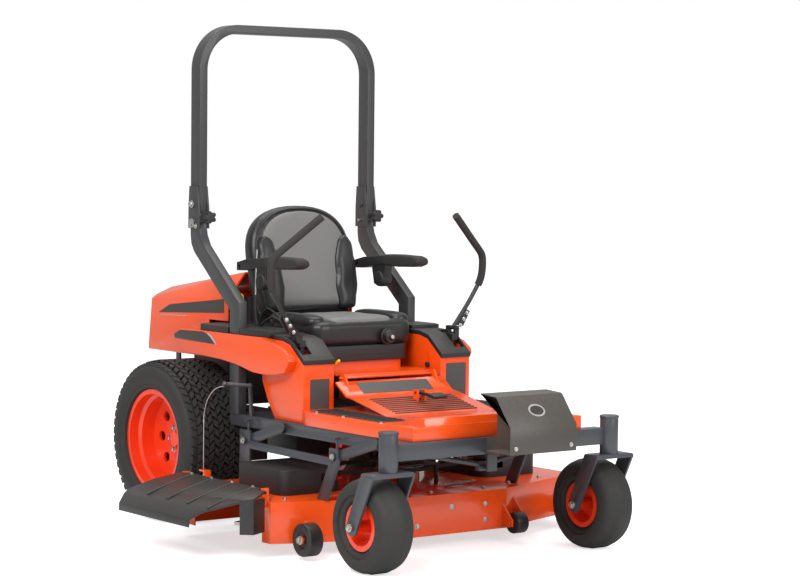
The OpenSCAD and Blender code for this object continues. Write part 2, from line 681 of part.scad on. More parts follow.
module spindle(i) color("#8a8d92") translate(OFF) translate([spindles[i][0], spindles[i][1], 0]) {
    top = i == 1 ? 300 : 276;
    translate([0, 0, 74]) cylinder(r = spindle_r, h = top - 74);
    translate([0, 0, 68]) cylinder(r = 26, h = 16);
    translate([0, 0, 94]) cylinder(r = 32, h = deck_top - deck_t - GAP - 94);
    translate([0, 0, deck_top + 40 + GAP]) cylinder(r = 30, h = 12);
    translate([0, 0, 248]) cylinder(r = pulley_r, h = 18);
    rotate(20 + 25 * i) translate([0, 0, 83]) difference() {
        linear_extrude(12) rrect(blade_l, 62, 8);
        translate([0, 0, 6]) for (s = [-1, 1]) translate([s * blade_l / 4 - 60 + s * 10, -40, 0]) cube([120, 80, 10]);
    }
}

module chute_deflector() color("#1d1d1f") translate(OFF) {
    yrod(-968, -404, chute_axis, chute_pin_r);
    intersection() {
        xz(-1060, -330) polygon([[-640, 247], [-662, 249], [-760, 226], [-880, 180], [-915, 150], [-918, 122],
            [-911, 120], [-908, 147], [-876, 173], [-758, 219], [-662, 242], [-648, 240], [-640, 240]]);
        translate([0, 0, 60]) linear_extrude(250) polygon([[-648, -949], [-648, -426], [-670, -426], [-670, -410],
            [-850, -345], [-930, -400], [-930, -860], [-745, -1045], [-670, -1004], [-670, -949]]);
    }
    // grey skirt below the front edge
    translate([0, 0, 100]) linear_extrude(122) polygon([[-672, -1004], [-745, -1044], [-780, -1010], [-778, -1004],
        [-745, -1036], [-672, -998]]);
    difference() {
        block([-664, -948, 222], [-641, -424, 247]);
        yrod(-980, -400, [chute_axis[0] - 26, chute_axis[1] - 12], 18);
    }
}

module gauge_wheel(s) color("#1d1d1f") translate(OFF) translate([deck_cx, 0, 0]) side(s) difference() {
    xrod(gauge_dx - 28, gauge_dx + 28, [gauge_y, gauge_z], gauge_r);
    xrod(gauge_dx - 30, gauge_dx + 30, [gauge_y, gauge_z], 8 + RUN);
    xrod(gauge_dx + 20, gauge_dx + 30, [gauge_y, gauge_z], 32);
}

module deck_roller() color("#1d1d1f") translate(OFF) difference() {
    xrod(roller[0] - 27, roller[0] + 27, [roller[1], roller[2]], roller_r);
    xrod(roller[0] - 30, roller[0] + 30, [roller[1], roller[2]], 6 + RUN);
}

// ---------- hood ----------
// Cross-section slices of the hood at its rear and front, drawn t inside the outer skin.
module hood_form(t) hull() {
    translate([0, 442 - t, 640]) rotate([90, 0, 0]) linear_extrude(1)
        polygon([[-hood_x + t, 0], [hood_x - t, 0], [hood_x - t, 20], [-hood_x + t, 20]]);
    translate([0, 418 - t, 0]) rotate([90, 0, 0]) linear_extrude(1)
        polygon([[-hood_x + t, 700], [hood_x - t, 700], [hood_x - t, 850 - t], [hood_x - 22 - t, 866 - t],
            [-hood_x + 22 + t, 866 - t], [-hood_x + t, 850 - t]]);
    translate([0, 392 - t, 0]) rotate([90, 0, 0]) linear_extrude(1)
        polygon([[-hood_x + 40, 700], [hood_x - 40, 700], [hood_x - 80, 897 - t], [-hood_x + 80, 897 - t]]);
    translate([0, -164 + (t > 0 ? -10 : 0), 0]) rotate([90, 0, 0]) linear_extrude(1)
        polygon([[-hood_x + t, 640], [hood_x - t, 640], [hood_x - t, 886 - t], [hood_x - 80 - t, 982 - t],
            [-hood_x + 80 + t, 982 - t], [-hood_x + t, 886 - t]]);
}

module hood() color("#ff5f1e") translate(OFF) {
    difference() {
        hood_form(0);
        hood_form(panel_t);
        block([-hood_x + panel_t, -200, 600], [hood_x - panel_t, 420, 660]);
        // room for the fenders
        for (s = [-1, 1]) side(s) block([200, -250, 600], [400, -25, 790]);
    }
    for (s = [-1, 1]) side(s) difference() {
        yz(124, 131) polygon([[438, 642], [432, 690], [440, 692], [482, 640], [482, 620], [462, 616]]);
        xrod(110, 140, hood_axis, hood_pin_r + RUN);
    }
}

// ---------- seat ----------
module seat_platform() color("#ff5f1e") translate(OFF) {
    xrod(-222, 222, seat_hinge, seat_pin_r);
    block([-200, -818, 611], [200, -800, 628]);
    block([-225, -800, 622], [225, -330, 628]);
    difference() {
        translate([0, -510, 627]) linear_extrude(53) rrect(370, 330, 30);
        for (s = [-1, 1]) translate([120 * s, -510, 632]) cylinder(r = 8 + RUN, h = 60);
    }
}

module suspension_top() color("#1f1f21") translate(OFF) {
    difference() {
        translate([0, -510, 662]) linear_extrude(58) rrect(400, 360, 36);
        translate([0, -510, 661]) linear_extrude(53) rrect(384, 344, 32);
    }
    // guide posts that run in the base
    for (s = [-1, 1]) translate([120 * s, -510, 664]) cylinder(r = 8, h = 51);
}

module seat_cushion() color("#2b2b2d") translate(OFF) {
    translate([0, -690 + cushion_l / 2, 720 + GAP]) linear_extrude(cushion_h) rrect(cushion_w, cushion_l, 60);
    // side plates that carry the backrest
    for (s = [-1, 1]) side(s) difference() {
        yz(228, 234) polygon([[-420, 728], [-420, 780], [-285, 832], [-250, 832], [-245, 800], [-300, 728]]);
        xrod(220, 240, back_pivot, back_pin_r + RUN);
    }
}

// Front outline of the backrest, above its pivot.
function back_outline() = let (hw = back_w / 2, r = back_w * 0.42) concat(
    [[-hw + 40, -12], [hw - 40, -12], [hw - 32, 20], [hw - 4, 120], [hw, 190]],
    [for (a = [0:10:180]) [cos(a) * (a < 90 ? hw : hw), back_h - r + sin(a) * r]],
    [[-hw, 190], [-hw + 4, 120], [-hw + 32, 20]]);

module backrest() color("#2b2b2d") translate(OFF) {
    translate([0, back_pivot[0], back_pivot[1]]) rotate([-back_lean, 0, 0]) {
        difference() {
            xz(-60, 42) polygon(back_outline());
            for (s = [-1, 1]) side(s) block([back_w / 2 - 42, -70, -20], [back_w / 2 + 10, 60, 48]);
        }
    }
    for (s = [-1, 1]) side(s) {
        xrod(back_w / 2 - 44, 240, back_pivot, back_pin_r);
        xrod(back_w / 2 - 30, 312, arm_pivot, arm_pin_r);
    }
}

module armrest(s) color("#222224") translate(OFF) side(s) difference() {
    union() {
        yz(256, 306) {
            polygon([[-655, 1020], [-662, 1032], [-655, 1048], [-420, 1050], [-300, 1040], [-236, 1026],
                [-236, 994], [-300, 996], [-420, 1016]]);
        }
        yz(262, 300) polygon([[-440, 1020], [-380, 1020], [-350, 1000], [-365, 935], [-410, 925], [-430, 960]]);
    }
    xrod(250, 320, arm_pivot, arm_pin_r + RUN);
}

module tension_knob() color("#19191b") translate(OFF) {
    yrod(-722, -690 - GAP, [90, 752], 24);
    yrod(-730, -720, [90, 752], 12);
}

// ---------- small controls ----------
module foot_pedal() color("#19191b") translate(OFF) {
    xrod(pedal_x - 22, pedal_x + 22, pedal_axis, 4);
    xrod(pedal_x - 13, pedal_x + 13, pedal_axis, 9);
    yz(pedal_x - 6, pedal_x + 6) strip(pedal_axis, [-1112, 556], 5);
    yz(pedal_x - 32, pedal_x + 32) strip([-1092, 566], [-1128, 560], 6);
}

module brake_lever() color("#ff5f1e") translate(OFF) side(-1) {
    xrod(340.2, brake_x + 18, hand_pivot, 4);
    yz(brake_x - 3, brake_x + 3) {
        strip(hand_pivot, [-288, 835], 8);
        translate(hand_pivot) circle(r = 12);
    }
    rod([brake_x, -289.5, 829], [brake_x, -266, 920], 10.5);
}

module throttle_lever() color("#f2b81c") translate(OFF) side(-1) {
    xrod(throttle_x - 22, 339.8, hand_pivot, 4);
    yz(throttle_x - 3, throttle_x + 3) {
        strip(hand_pivot, [-305, 842], 8);
        translate(hand_pivot) circle(r = 12);
    }
    rod([throttle_x, -304.5, 836], [throttle_x, -301, 902], 10.5);
}

module seat_latch() color("#f2b81c") translate(OFF) {
    xrod(-console_in + GAP, -console_in + 16, [-790, 650], 7);
    yz(-console_in + 4, -console_in + 10) strip([-790, 650], [-826, 672], 6);
    bar([-console_in + 9, -826, 672], [-console_in + 9, -843, 682], 6);
}

frame_rails();
front_axle();
floor_pan();
front_panel();
console(-1);  // console_right
console(1);  // console_left
top_covers();
fender(-1);  // fender_right
fender(1);  // fender_left
rops_legs();
guard_box();
engine();
fuel_tank();
transaxles();
chute_cable();
rops_hoop();
rops_pin(-1);  // rops_pin_right
rops_pin(1);  // rops_pin_left
rops_knob(-1);  // rops_knob_right
rops_knob(1);  // rops_knob_left
rear_rim(-1);  // rear_rim_right
rear_tyre(-1);  // rear_tyre_right
rear_rim(1);  // rear_rim_left
rear_tyre(1);  // rear_tyre_left
caster_fork(-1);  // caster_fork_right
caster_fork(1);  // caster_fork_left
caster_rim(-1);  // caster_rim_right
caster_tyre(-1);  // caster_tyre_right
caster_rim(1);  // caster_rim_left
caster_tyre(1);  // caster_tyre_left
lever_base(-1);  // lever_base_right
lever_base(1);  // lever_base_left
control_lever(-1);  // control_lever_right
control_lever(1);  // control_lever_left
deck_shell();
belt_covers();
deck_gearbox();
deck_belt();
deck_hangers();
chute_deflector();
gauge_wheel(-1);  // gauge_wheel_right
gauge_wheel(1);  // gauge_wheel_left
deck_roller();
spindle(0);  // spindle_right
spindle(1);  // spindle_centre
spindle(2);  // spindle_left
lift_arm(front_pivot);  // front_lift_arm
lift_arm(rear_pivot);  // rear_lift_arm
hood();
seat_platform();
suspension_top();
seat_cushion();
backrest();
armrest(-1);  // armrest_right
armrest(1);  // armrest_left
tension_knob();
foot_pedal();
brake_lever();
throttle_lever();
seat_latch();
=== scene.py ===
import json
import math

import bpy
from mathutils import Matrix, Vector


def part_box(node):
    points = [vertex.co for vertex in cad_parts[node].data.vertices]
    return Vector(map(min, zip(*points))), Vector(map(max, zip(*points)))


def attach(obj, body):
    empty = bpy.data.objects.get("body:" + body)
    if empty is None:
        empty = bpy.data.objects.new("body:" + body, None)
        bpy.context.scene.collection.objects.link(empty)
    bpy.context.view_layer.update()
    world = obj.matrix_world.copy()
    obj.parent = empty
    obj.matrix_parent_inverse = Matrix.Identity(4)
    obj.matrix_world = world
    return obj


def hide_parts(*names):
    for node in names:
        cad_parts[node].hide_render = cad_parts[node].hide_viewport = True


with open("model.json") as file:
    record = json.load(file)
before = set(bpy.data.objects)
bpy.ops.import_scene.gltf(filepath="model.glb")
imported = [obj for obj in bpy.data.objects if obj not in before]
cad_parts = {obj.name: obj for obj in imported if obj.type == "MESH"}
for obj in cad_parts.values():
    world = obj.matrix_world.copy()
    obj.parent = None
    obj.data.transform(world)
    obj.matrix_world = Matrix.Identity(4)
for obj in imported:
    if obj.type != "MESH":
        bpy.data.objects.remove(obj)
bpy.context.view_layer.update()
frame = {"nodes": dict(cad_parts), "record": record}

# ---------------------------------------------------------------------------
# Camera. It stands ahead of the machine on its right and looks slightly down.
# ---------------------------------------------------------------------------
camera_at = Vector((-5.2513, -7.4086, 1.4455))
heading = 0.6383
dip = 0.0562
roll = 0.0102
forward = Vector((
    math.sin(heading) * math.cos(dip),
    math.cos(heading) * math.cos(dip),
    -math.sin(dip),
))
right = Vector((math.cos(heading), -math.sin(heading), 0))
upward = right.cross(forward)
level_right = right * math.cos(roll) + upward * math.sin(roll)
level_up = upward * math.cos(roll) - right * math.sin(roll)
lens = bpy.data.cameras.new("camera")
lens.lens = 106.77
lens.sensor_width = 36
camera = bpy.data.objects.new("camera", lens)
bpy.context.scene.collection.objects.link(camera)
camera.matrix_world = Matrix((
    (level_right.x, level_up.x, -forward.x, camera_at.x),
    (level_right.y, level_up.y, -forward.y, camera_at.y),
    (level_right.z, level_up.z, -forward.z, camera_at.z),
    (0, 0, 0, 1),
))
bpy.context.scene.camera = camera

# ---------------------------------------------------------------------------
# Studio. A plain white floor, an even white surround and three soft panels.
# ---------------------------------------------------------------------------
bpy.context.scene.view_settings.view_transform = "Standard"
world = bpy.data.worlds.new("studio")
bpy.context.scene.world = world
world.use_nodes = True
world.node_tree.nodes["Background"].inputs["Color"].default_value = (1, 1, 1, 1)
surround = world.node_tree.nodes["Background"]


def brighter_in_view(tree, socket, lighting, in_view):
    """Gives a strength one value for the light it casts and another as the camera sees it."""
    seen = tree.nodes.new("ShaderNodeLightPath")
    glow = tree.nodes.new("ShaderNodeMapRange")
    glow.inputs["To Min"].default_value = lighting
    glow.inputs["To Max"].default_value = in_view
    tree.links.new(seen.outputs["Is Camera Ray"], glow.inputs["Value"])
    tree.links.new(glow.outputs["Result"], socket)


brighter_in_view(world.node_tree, surround.inputs["Strength"], 0.5, 1.0)

bpy.ops.mesh.primitive_plane_add(size=60, location=(0, 0, 0))
floor = bpy.context.object
floor.name = "studio_floor"
floor_paint = bpy.data.materials.new("studio_floor")
floor_paint.use_nodes = True
paper = floor_paint.node_tree.nodes["Principled BSDF"]
paper.inputs["Base Color"].default_value = (0.9, 0.9, 0.9, 1)
paper.inputs["Roughness"].default_value = 0.6
paper.inputs["Emission Color"].default_value = (1, 1, 1, 1)
brighter_in_view(floor_paint.node_tree, paper.inputs["Emission Strength"], 0.0, 0.62)
floor.data.materials.append(floor_paint)


def soft_panel(name, at, aim, size, watts):
    panel = bpy.data.lights.new(name, "AREA")
    panel.shape = "RECTANGLE"
    panel.size, panel.size_y = size
    panel.energy = watts
    lamp = bpy.data.objects.new(name, panel)
    bpy.context.scene.collection.objects.link(lamp)
    lamp.location = at
    lamp.rotation_euler = (Vector(aim) - Vector(at)).to_track_quat("-Z", "Y").to_euler()


soft_panel("key_panel", (-4.5, -3.0, 4.6), (0, 0, 0.6), (3.0, 3.0), 300)
soft_panel("front_panel_light", (1.5, -6.5, 3.2), (0, 0, 0.5), (4.0, 2.0), 170)
soft_panel("top_panel", (0.5, 0.8, 5.2), (0, 0, 0.5), (4.0, 4.0), 150)

# ---------------------------------------------------------------------------
# Frame steel: rails, front axle, caster forks and the deck's lift linkage.
# Welded plate and tube under a satin grey powder coat, with softened edges.
# ---------------------------------------------------------------------------
TEXTURE_SPACE = "Object"


def effect_group(name, inputs, outputs):
    group = bpy.data.node_groups.new(name, "ShaderNodeTree")
    for socket, kind, value in inputs:
        made = group.interface.new_socket(name=socket, in_out="INPUT", socket_type=kind)
        made.default_value = value
    for socket, kind in outputs:
        group.interface.new_socket(name=socket, in_out="OUTPUT", socket_type=kind)
    enter = group.nodes.new("NodeGroupInput")
    leave = group.nodes.new("NodeGroupOutput")
    return group, enter, leave


def ranged(group, source, low, high):
    """Stretches a 0 to 1 value to run from the low socket to the high socket."""
    node = group.nodes.new("ShaderNodeMapRange")
    group.links.new(source, node.inputs["Value"])
    group.links.new(low, node.inputs["To Min"])
    group.links.new(high, node.inputs["To Max"])
    return node.outputs["Result"]


def noise(group, scale, detail=4.0):
    where = group.nodes.new("ShaderNodeTexCoord")
    node = group.nodes.new("ShaderNodeTexNoise")
    node.inputs["Detail"].default_value = detail
    group.links.new(where.outputs[TEXTURE_SPACE], node.inputs["Vector"])
    group.links.new(scale, node.inputs["Scale"])
    return node.outputs["Fac"]


def make_mottle():
    """Two close colours and two gloss levels, in soft uneven patches, with dust on upward faces."""
    colour, number = "NodeSocketColor", "NodeSocketFloat"
    group, enter, leave = effect_group("mottle", [
        ("Colour", colour, (0.5, 0.5, 0.5, 1)), ("Second Colour", colour, (0.4, 0.4, 0.4, 1)),
        ("Patch Scale", number, 3.0), ("Low Roughness", number, 0.3), ("High Roughness", number, 0.5),
        ("Dust", number, 0.0), ("Dust Colour", colour, (0.35, 0.31, 0.26, 1)), ("Fleck Scale", number, 90.0),
    ], [("Colour", colour), ("Roughness", number)])
    patches = noise(group, enter.outputs["Patch Scale"])
    flecks = noise(group, enter.outputs["Fleck Scale"], 2.0)
    blend = group.nodes.new("ShaderNodeMix")
    blend.data_type = "RGBA"
    group.links.new(patches, blend.inputs["Factor"])
    group.links.new(enter.outputs["Colour"], blend.inputs["A"])
    group.links.new(enter.outputs["Second Colour"], blend.inputs["B"])
    up = group.nodes.new("ShaderNodeSeparateXYZ")
    geometry = group.nodes.new("ShaderNodeNewGeometry")
    group.links.new(geometry.outputs["Normal"], up.inputs["Vector"])
    facing = group.nodes.new("ShaderNodeMath")
    facing.operation = "MAXIMUM"
    group.links.new(up.outputs["Z"], facing.inputs[0])
    facing.inputs[1].default_value = 0.15
    lying = group.nodes.new("ShaderNodeMath")
    lying.operation = "MULTIPLY"
    group.links.new(facing.outputs[0], lying.inputs[0])
    group.links.new(flecks, lying.inputs[1])
    amount = group.nodes.new("ShaderNodeMath")
    amount.operation = "MULTIPLY"
    amount.use_clamp = True
    group.links.new(lying.outputs[0], amount.inputs[0])
    group.links.new(enter.outputs["Dust"], amount.inputs[1])
    dusty = group.nodes.new("ShaderNodeMix")
    dusty.data_type = "RGBA"
    group.links.new(amount.outputs[0], dusty.inputs["Factor"])
    group.links.new(blend.outputs["Result"], dusty.inputs["A"])
    group.links.new(enter.outputs["Dust Colour"], dusty.inputs["B"])
    group.links.new(dusty.outputs["Result"], leave.inputs["Colour"])
    gloss = ranged(group, patches, enter.outputs["Low Roughness"], enter.outputs["High Roughness"])
    group.links.new(gloss, leave.inputs["Roughness"])
    return group


def make_grain():
    """A fine raised grain, as on moulded plastic, vinyl or powder coat."""
    number = "NodeSocketFloat"
    group, enter, leave = effect_group("grain", [
        ("Grain Scale", number, 900.0), ("Strength", number, 0.2), ("Depth", number, 0.0004),
    ], [("Normal", "NodeSocketVector")])
    height = noise(group, enter.outputs["Grain Scale"], 3.0)
    bump = group.nodes.new("ShaderNodeBump")
    group.links.new(height, bump.inputs["Height"])
    group.links.new(enter.outputs["Strength"], bump.inputs["Strength"])
    group.links.new(enter.outputs["Depth"], bump.inputs["Distance"])
    group.links.new(bump.outputs["Normal"], leave.inputs["Normal"])
    return group


mottle = make_mottle()
grain = make_grain()


def coated(name, colour, second, rough, grain_scale, grain_strength,
           metal=0.0, coat=0.0, dust=0.0, patch=3.0, sheen=0.0):
    """A material whose colour, gloss and grain come from the shared effects."""
    made = bpy.data.materials.new(name)
    made.use_nodes = True
    nodes, links = made.node_tree.nodes, made.node_tree.links
    shader = nodes["Principled BSDF"]
    shader.inputs["Metallic"].default_value = metal
    shader.inputs["Coat Weight"].default_value = coat
    shader.inputs["Coat Roughness"].default_value = 0.06
    shader.inputs["Sheen Weight"].default_value = sheen
    patches = nodes.new("ShaderNodeGroup")
    patches.node_tree = mottle
    patches.inputs["Colour"].default_value = (*colour, 1)
    patches.inputs["Second Colour"].default_value = (*second, 1)
    patches.inputs["Patch Scale"].default_value = patch
    patches.inputs["Low Roughness"].default_value = rough[0]
    patches.inputs["High Roughness"].default_value = rough[1]
    patches.inputs["Dust"].default_value = dust
    links.new(patches.outputs["Colour"], shader.inputs["Base Color"])
    links.new(patches.outputs["Roughness"], shader.inputs["Roughness"])
    relief = nodes.new("ShaderNodeGroup")
    relief.node_tree = grain
    relief.inputs["Grain Scale"].default_value = grain_scale
    relief.inputs["Strength"].default_value = grain_strength
    links.new(relief.outputs["Normal"], shader.inputs["Normal"])
    return made


def nothing_selected():
    if bpy.context.object and bpy.context.object.mode != "OBJECT":
        bpy.ops.object.mode_set(mode="OBJECT")
    bpy.ops.object.select_all(action="DESELECT")


def pick(piece):
    nothing_selected()
    piece.select_set(True)
    bpy.context.view_layer.objects.active = piece


def apply_modifier(piece, kind, **settings):
    pick(piece)
    modifier = piece.modifiers.new(kind.lower(), kind)
    for key, value in settings.items():
        setattr(modifier, key, value)
    bpy.ops.object.modifier_apply(modifier=modifier.name)


def dress(piece, finish, slot, body, *nodes, smooth=35):
    """Gives a finished piece its material, its body and the CAD nodes it stands for."""
    pick(piece)
    piece.data.materials.clear()
    piece.data.materials.append(finish)
    bpy.ops.object.shade_smooth_by_angle(angle=math.radians(smooth))
    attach(piece, body)
    if nodes:
        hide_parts(*nodes)
    return piece


body_of = {}
for body_name, members in frame["record"]["behaviour"]["bodies"].items():
    for member in members:
        body_of[member] = body_name


def softened(node, finish, slot, radius=0.002, steps=2, smooth=35):
    """A copy of a CAD node with its sharp edges rounded, as plate and castings have them."""
    source = frame["nodes"][node]
    piece = source.copy()
    piece.data = source.data.copy()
    piece.name = node + "_finished"
    bpy.context.scene.collection.objects.link(piece)
    piece.parent = None
    piece.matrix_world = source.matrix_world
    pick(piece)
    bpy.ops.object.mode_set(mode="EDIT")
    bpy.ops.mesh.select_all(action="SELECT")
    bpy.ops.mesh.remove_doubles(threshold=0.00002)
    bpy.ops.mesh.dissolve_limited(angle_limit=math.radians(1))
    bpy.ops.object.mode_set(mode="OBJECT")
    apply_modifier(piece, "BEVEL", width=radius, segments=steps, limit_method="ANGLE",
                   angle_limit=math.radians(40), use_clamp_overlap=True, harden_normals=False)
    return dress(piece, finish, slot, body_of[node], node, smooth=smooth)


def plain(node, finish):
    """A CAD node that keeps its own shape and only gets a better finish."""
    target = frame["nodes"][node]
    target.data.materials.clear()
    target.data.materials.append(finish)


powder_grey = coated("powder_grey", (0.05, 0.054, 0.064), (0.04, 0.043, 0.052), (0.3, 0.42), 700, 0.12,
                     coat=0.15, dust=0.12)
for node in ("frame_rails", "front_axle", "caster_fork_right", "caster_fork_left",
             "deck_hangers", "front_lift_arm", "rear_lift_arm"):
    softened(node, powder_grey, "frame_steel", 0.0022)

# ---------------------------------------------------------------------------
# Roll bar: two bent legs bolted to the rails and a folding hoop, in
# rectangular steel tube with a satin dark grey coat.
# ---------------------------------------------------------------------------
powder_dark = coated("powder_dark", (0.045, 0.045, 0.046), (0.036, 0.036, 0.037), (0.34, 0.46), 800, 0.12, dust=0.08)
softened("rops_legs", powder_dark, "roll_bar", 0.003)
softened("rops_hoop", powder_dark, "roll_bar", 0.006, 3)

# ---------------------------------------------------------------------------
# Orange bodywork: floor pan, seat step, consoles, fenders, hood and the
# seat platform, all pressed sheet under a deep gloss orange.
# ---------------------------------------------------------------------------
gloss_orange = coated("gloss_orange", (0.9, 0.088, 0.006), (0.83, 0.075, 0.005), (0.2, 0.3), 260, 0.03,
                      coat=0.4, dust=0.0)
for node, radius in (("floor_pan", 0.008), ("front_panel", 0.003), ("console_right", 0.006),
                     ("console_left", 0.006), ("hood", 0.014), ("seat_platform", 0.003), ("deck_shell", 0.003)):
    softened(node, gloss_orange, "body_orange", radius, 3, smooth=40)
for node in ("fender_right", "fender_left"):
    softened(node, gloss_orange, "body_orange", 0.014, 5, smooth=62)

# ---------------------------------------------------------------------------
# Black mouldings: fender pads, console caps, belt covers, fuel tank, knobs
# and the seat's suspension cover, in grained polypropylene.
# ---------------------------------------------------------------------------
black_moulding = coated("black_moulding", (0.010, 0.010, 0.011), (0.015, 0.015, 0.016), (0.42, 0.56), 1100, 0.35,
                        dust=0.12)
for node, radius in (("top_covers", 0.003), ("belt_covers", 0.008), ("fuel_tank", 0.01),
                     ("rops_knob_right", 0.0015), ("rops_knob_left", 0.0015),
                     ("suspension_top", 0.008), ("armrest_right", 0.009), ("armrest_left", 0.009),
                     ("tension_knob", 0.003), ("foot_pedal", 0.0012)):
    softened(node, black_moulding, "black_plastic", radius, 3)

# ---------------------------------------------------------------------------
# Guard box: a folded steel tray ahead of the axle, in warm dark grey.
# ---------------------------------------------------------------------------
warm_grey = coated("warm_grey", (0.06, 0.052, 0.046), (0.048, 0.042, 0.037), (0.4, 0.52), 900, 0.25, dust=0.2)
softened("guard_box", warm_grey, "box_plastic", 0.002)

# ---------------------------------------------------------------------------
# Power train and deck drive: castings, the belt, spindles and small levers.
# ---------------------------------------------------------------------------
casting = coated("casting", (0.045, 0.047, 0.05), (0.033, 0.034, 0.037), (0.5, 0.68), 320, 0.5, metal=0.3, dust=0.2)
for node in ("engine", "transaxles", "deck_gearbox"):
    softened(node, casting, "cast_case", 0.004)
belt_black = coated("belt_black", (0.02, 0.02, 0.02), (0.028, 0.027, 0.026), (0.6, 0.75), 600, 0.4)
plain("deck_belt", belt_black)
bright_zinc = coated("bright_zinc", (0.62, 0.61, 0.57), (0.5, 0.49, 0.45), (0.25, 0.42), 500, 0.15, metal=1.0)
for node in ("chute_cable", "spindle_right", "spindle_centre", "spindle_left", "rops_pin_right", "rops_pin_left"):
    plain(node, bright_zinc)
satin_black = coated("satin_black", (0.012, 0.012, 0.013), (0.018, 0.017, 0.018), (0.36, 0.5), 800, 0.2, dust=0.05)
for node in ("lever_base_right", "lever_base_left"):
    plain(node, satin_black)
grip_orange = coated("grip_orange", (0.95, 0.13, 0.02), (0.88, 0.11, 0.015), (0.3, 0.42), 700, 0.1)
plain("brake_lever", grip_orange)
grip_yellow = coated("grip_yellow", (0.9, 0.45, 0.012), (0.82, 0.4, 0.01), (0.3, 0.42), 700, 0.1)
plain("throttle_lever", grip_yellow)
plain("seat_latch", grip_yellow)
chute_rubber = coated("chute_rubber", (0.010, 0.010, 0.011), (0.018, 0.017, 0.016), (0.3, 0.5), 420, 0.35, dust=0.12)
softened("chute_deflector", chute_rubber, "roller_rubber", 0.003)
for node in ("gauge_wheel_right", "gauge_wheel_left", "deck_roller"):
    softened(node, chute_rubber, "roller_rubber", 0.006, 3)

# ---------------------------------------------------------------------------
# Wheels: pressed rims in red orange, turf tyres with siped lugs at the rear
# and smooth ribbed tyres on the casters.
# ---------------------------------------------------------------------------
rim_red = coated("rim_red", (0.88, 0.045, 0.006), (0.8, 0.038, 0.005), (0.24, 0.36), 300, 0.05, coat=0.4)
for node in ("rear_rim_right", "rear_rim_left", "caster_rim_right", "caster_rim_left"):
    plain(node, rim_red)
tyre_black = coated("tyre_black", (0.015, 0.0145, 0.014), (0.024, 0.023, 0.022), (0.62, 0.8), 500, 0.3,
                    dust=0.06, patch=9)


def turned(name, profile, centre, steps):
    """Spins a closed outline of (radius, side offset) points about a wheel's axle."""
    points = [(centre[0] + across, centre[1], centre[2] + radius) for radius, across in profile]
    ring = [(i, (i + 1) % len(points)) for i in range(len(points))]
    mesh = bpy.data.meshes.new(name)
    mesh.from_pydata(points, ring, [])
    piece = bpy.data.objects.new(name, mesh)
    bpy.context.scene.collection.objects.link(piece)
    pick(piece)
    bpy.ops.object.mode_set(mode="EDIT")
    bpy.ops.mesh.select_all(action="SELECT")
    bpy.ops.mesh.spin(steps=steps, angle=math.tau, center=centre, axis=(1, 0, 0))
    bpy.ops.mesh.select_all(action="SELECT")
    bpy.ops.mesh.remove_doubles(threshold=0.00005)
    bpy.ops.mesh.normals_make_consistent(inside=False)
    bpy.ops.object.mode_set(mode="OBJECT")
    return piece


def hub_of(node):
    low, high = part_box(node)
    return tuple((low[i] + high[i]) / 2 for i in range(3)), high[0] - low[0], (high[2] - low[2]) / 2


def tyre_profile(bead, outer, width, lug):
    """A closed section of a tyre, with rounded shoulders and bead lips."""
    half = width / 2
    drop = outer - lug
    side = drop - bead
    outside = [(bead, half - 0.030), (bead + 0.014, half - 0.027), (bead + 0.018, half - 0.012),
               (bead + 0.028, half - 0.006), (bead + 0.034, half - 0.0075), (bead + 0.42 * side, half),
               (bead + 0.62 * side, half - 0.001), (bead + 0.8 * side, half - 0.006),
               (bead + 0.91 * side, half - 0.015), (bead + 0.975 * side, half - 0.028),
               (drop, half - 0.044), (drop + 0.003, half * 0.35), (drop + 0.003, 0)]
    mirrored = [(radius, -across) for radius, across in reversed(outside[:-1])]
    return outside + mirrored


def turf_lugs(name, centre, outer, width, lug, rows, around):
    """Slanted blocks in rows across the tread, each row half a pitch behind its neighbour."""
    points, faces = [], []
    usable = width - 0.03
    cell = usable / rows
    pitch = math.tau / around
    for row in range(rows):
        across = -usable / 2 + cell * (row + 0.5)
        edge = abs(across) / (usable / 2)
        top = outer - 0.017 * max(0, edge - 0.55) ** 2 / 0.2
        slant = 0.42 if row % 2 else -0.42
        for step in range(around):
            middle = pitch * (step + 0.5 * (row % 2))
            first = len(points)
            for level, grow in ((top - lug - 0.006, 1.0), (top, 0.86)):
                for side, turn in ((-1, -1), (1, -1), (1, 1), (-1, 1)):
                    shift = side * cell * 0.45 * grow
                    angle = middle + pitch * (0.40 * turn * grow + slant * side * 0.5)
                    points.append((centre[0] + across + shift,
                                   centre[1] + level * math.sin(angle),
                                   centre[2] + level * math.cos(angle)))
            faces.append([first + 4, first + 5, first + 6, first + 7])
            for corner in range(4):
                following = (corner + 1) % 4
                faces.append([first + corner, first + following, first + 4 + following, first + 4 + corner])
            faces.append([first + 3, first + 2, first + 1, first])
    mesh = bpy.data.meshes.new(name)
    mesh.from_pydata(points, [], faces)
    piece = bpy.data.objects.new(name, mesh)
    bpy.context.scene.collection.objects.link(piece)
    pick(piece)
    bpy.ops.object.mode_set(mode="EDIT")
    bpy.ops.mesh.select_all(action="SELECT")
    bpy.ops.mesh.normals_make_consistent(inside=False)
    bpy.ops.object.mode_set(mode="OBJECT")
    return piece


def joined(pieces):
    nothing_selected()
    for piece in pieces:
        piece.select_set(True)
    bpy.context.view_layer.objects.active = pieces[0]
    bpy.ops.object.join()
    return bpy.context.object


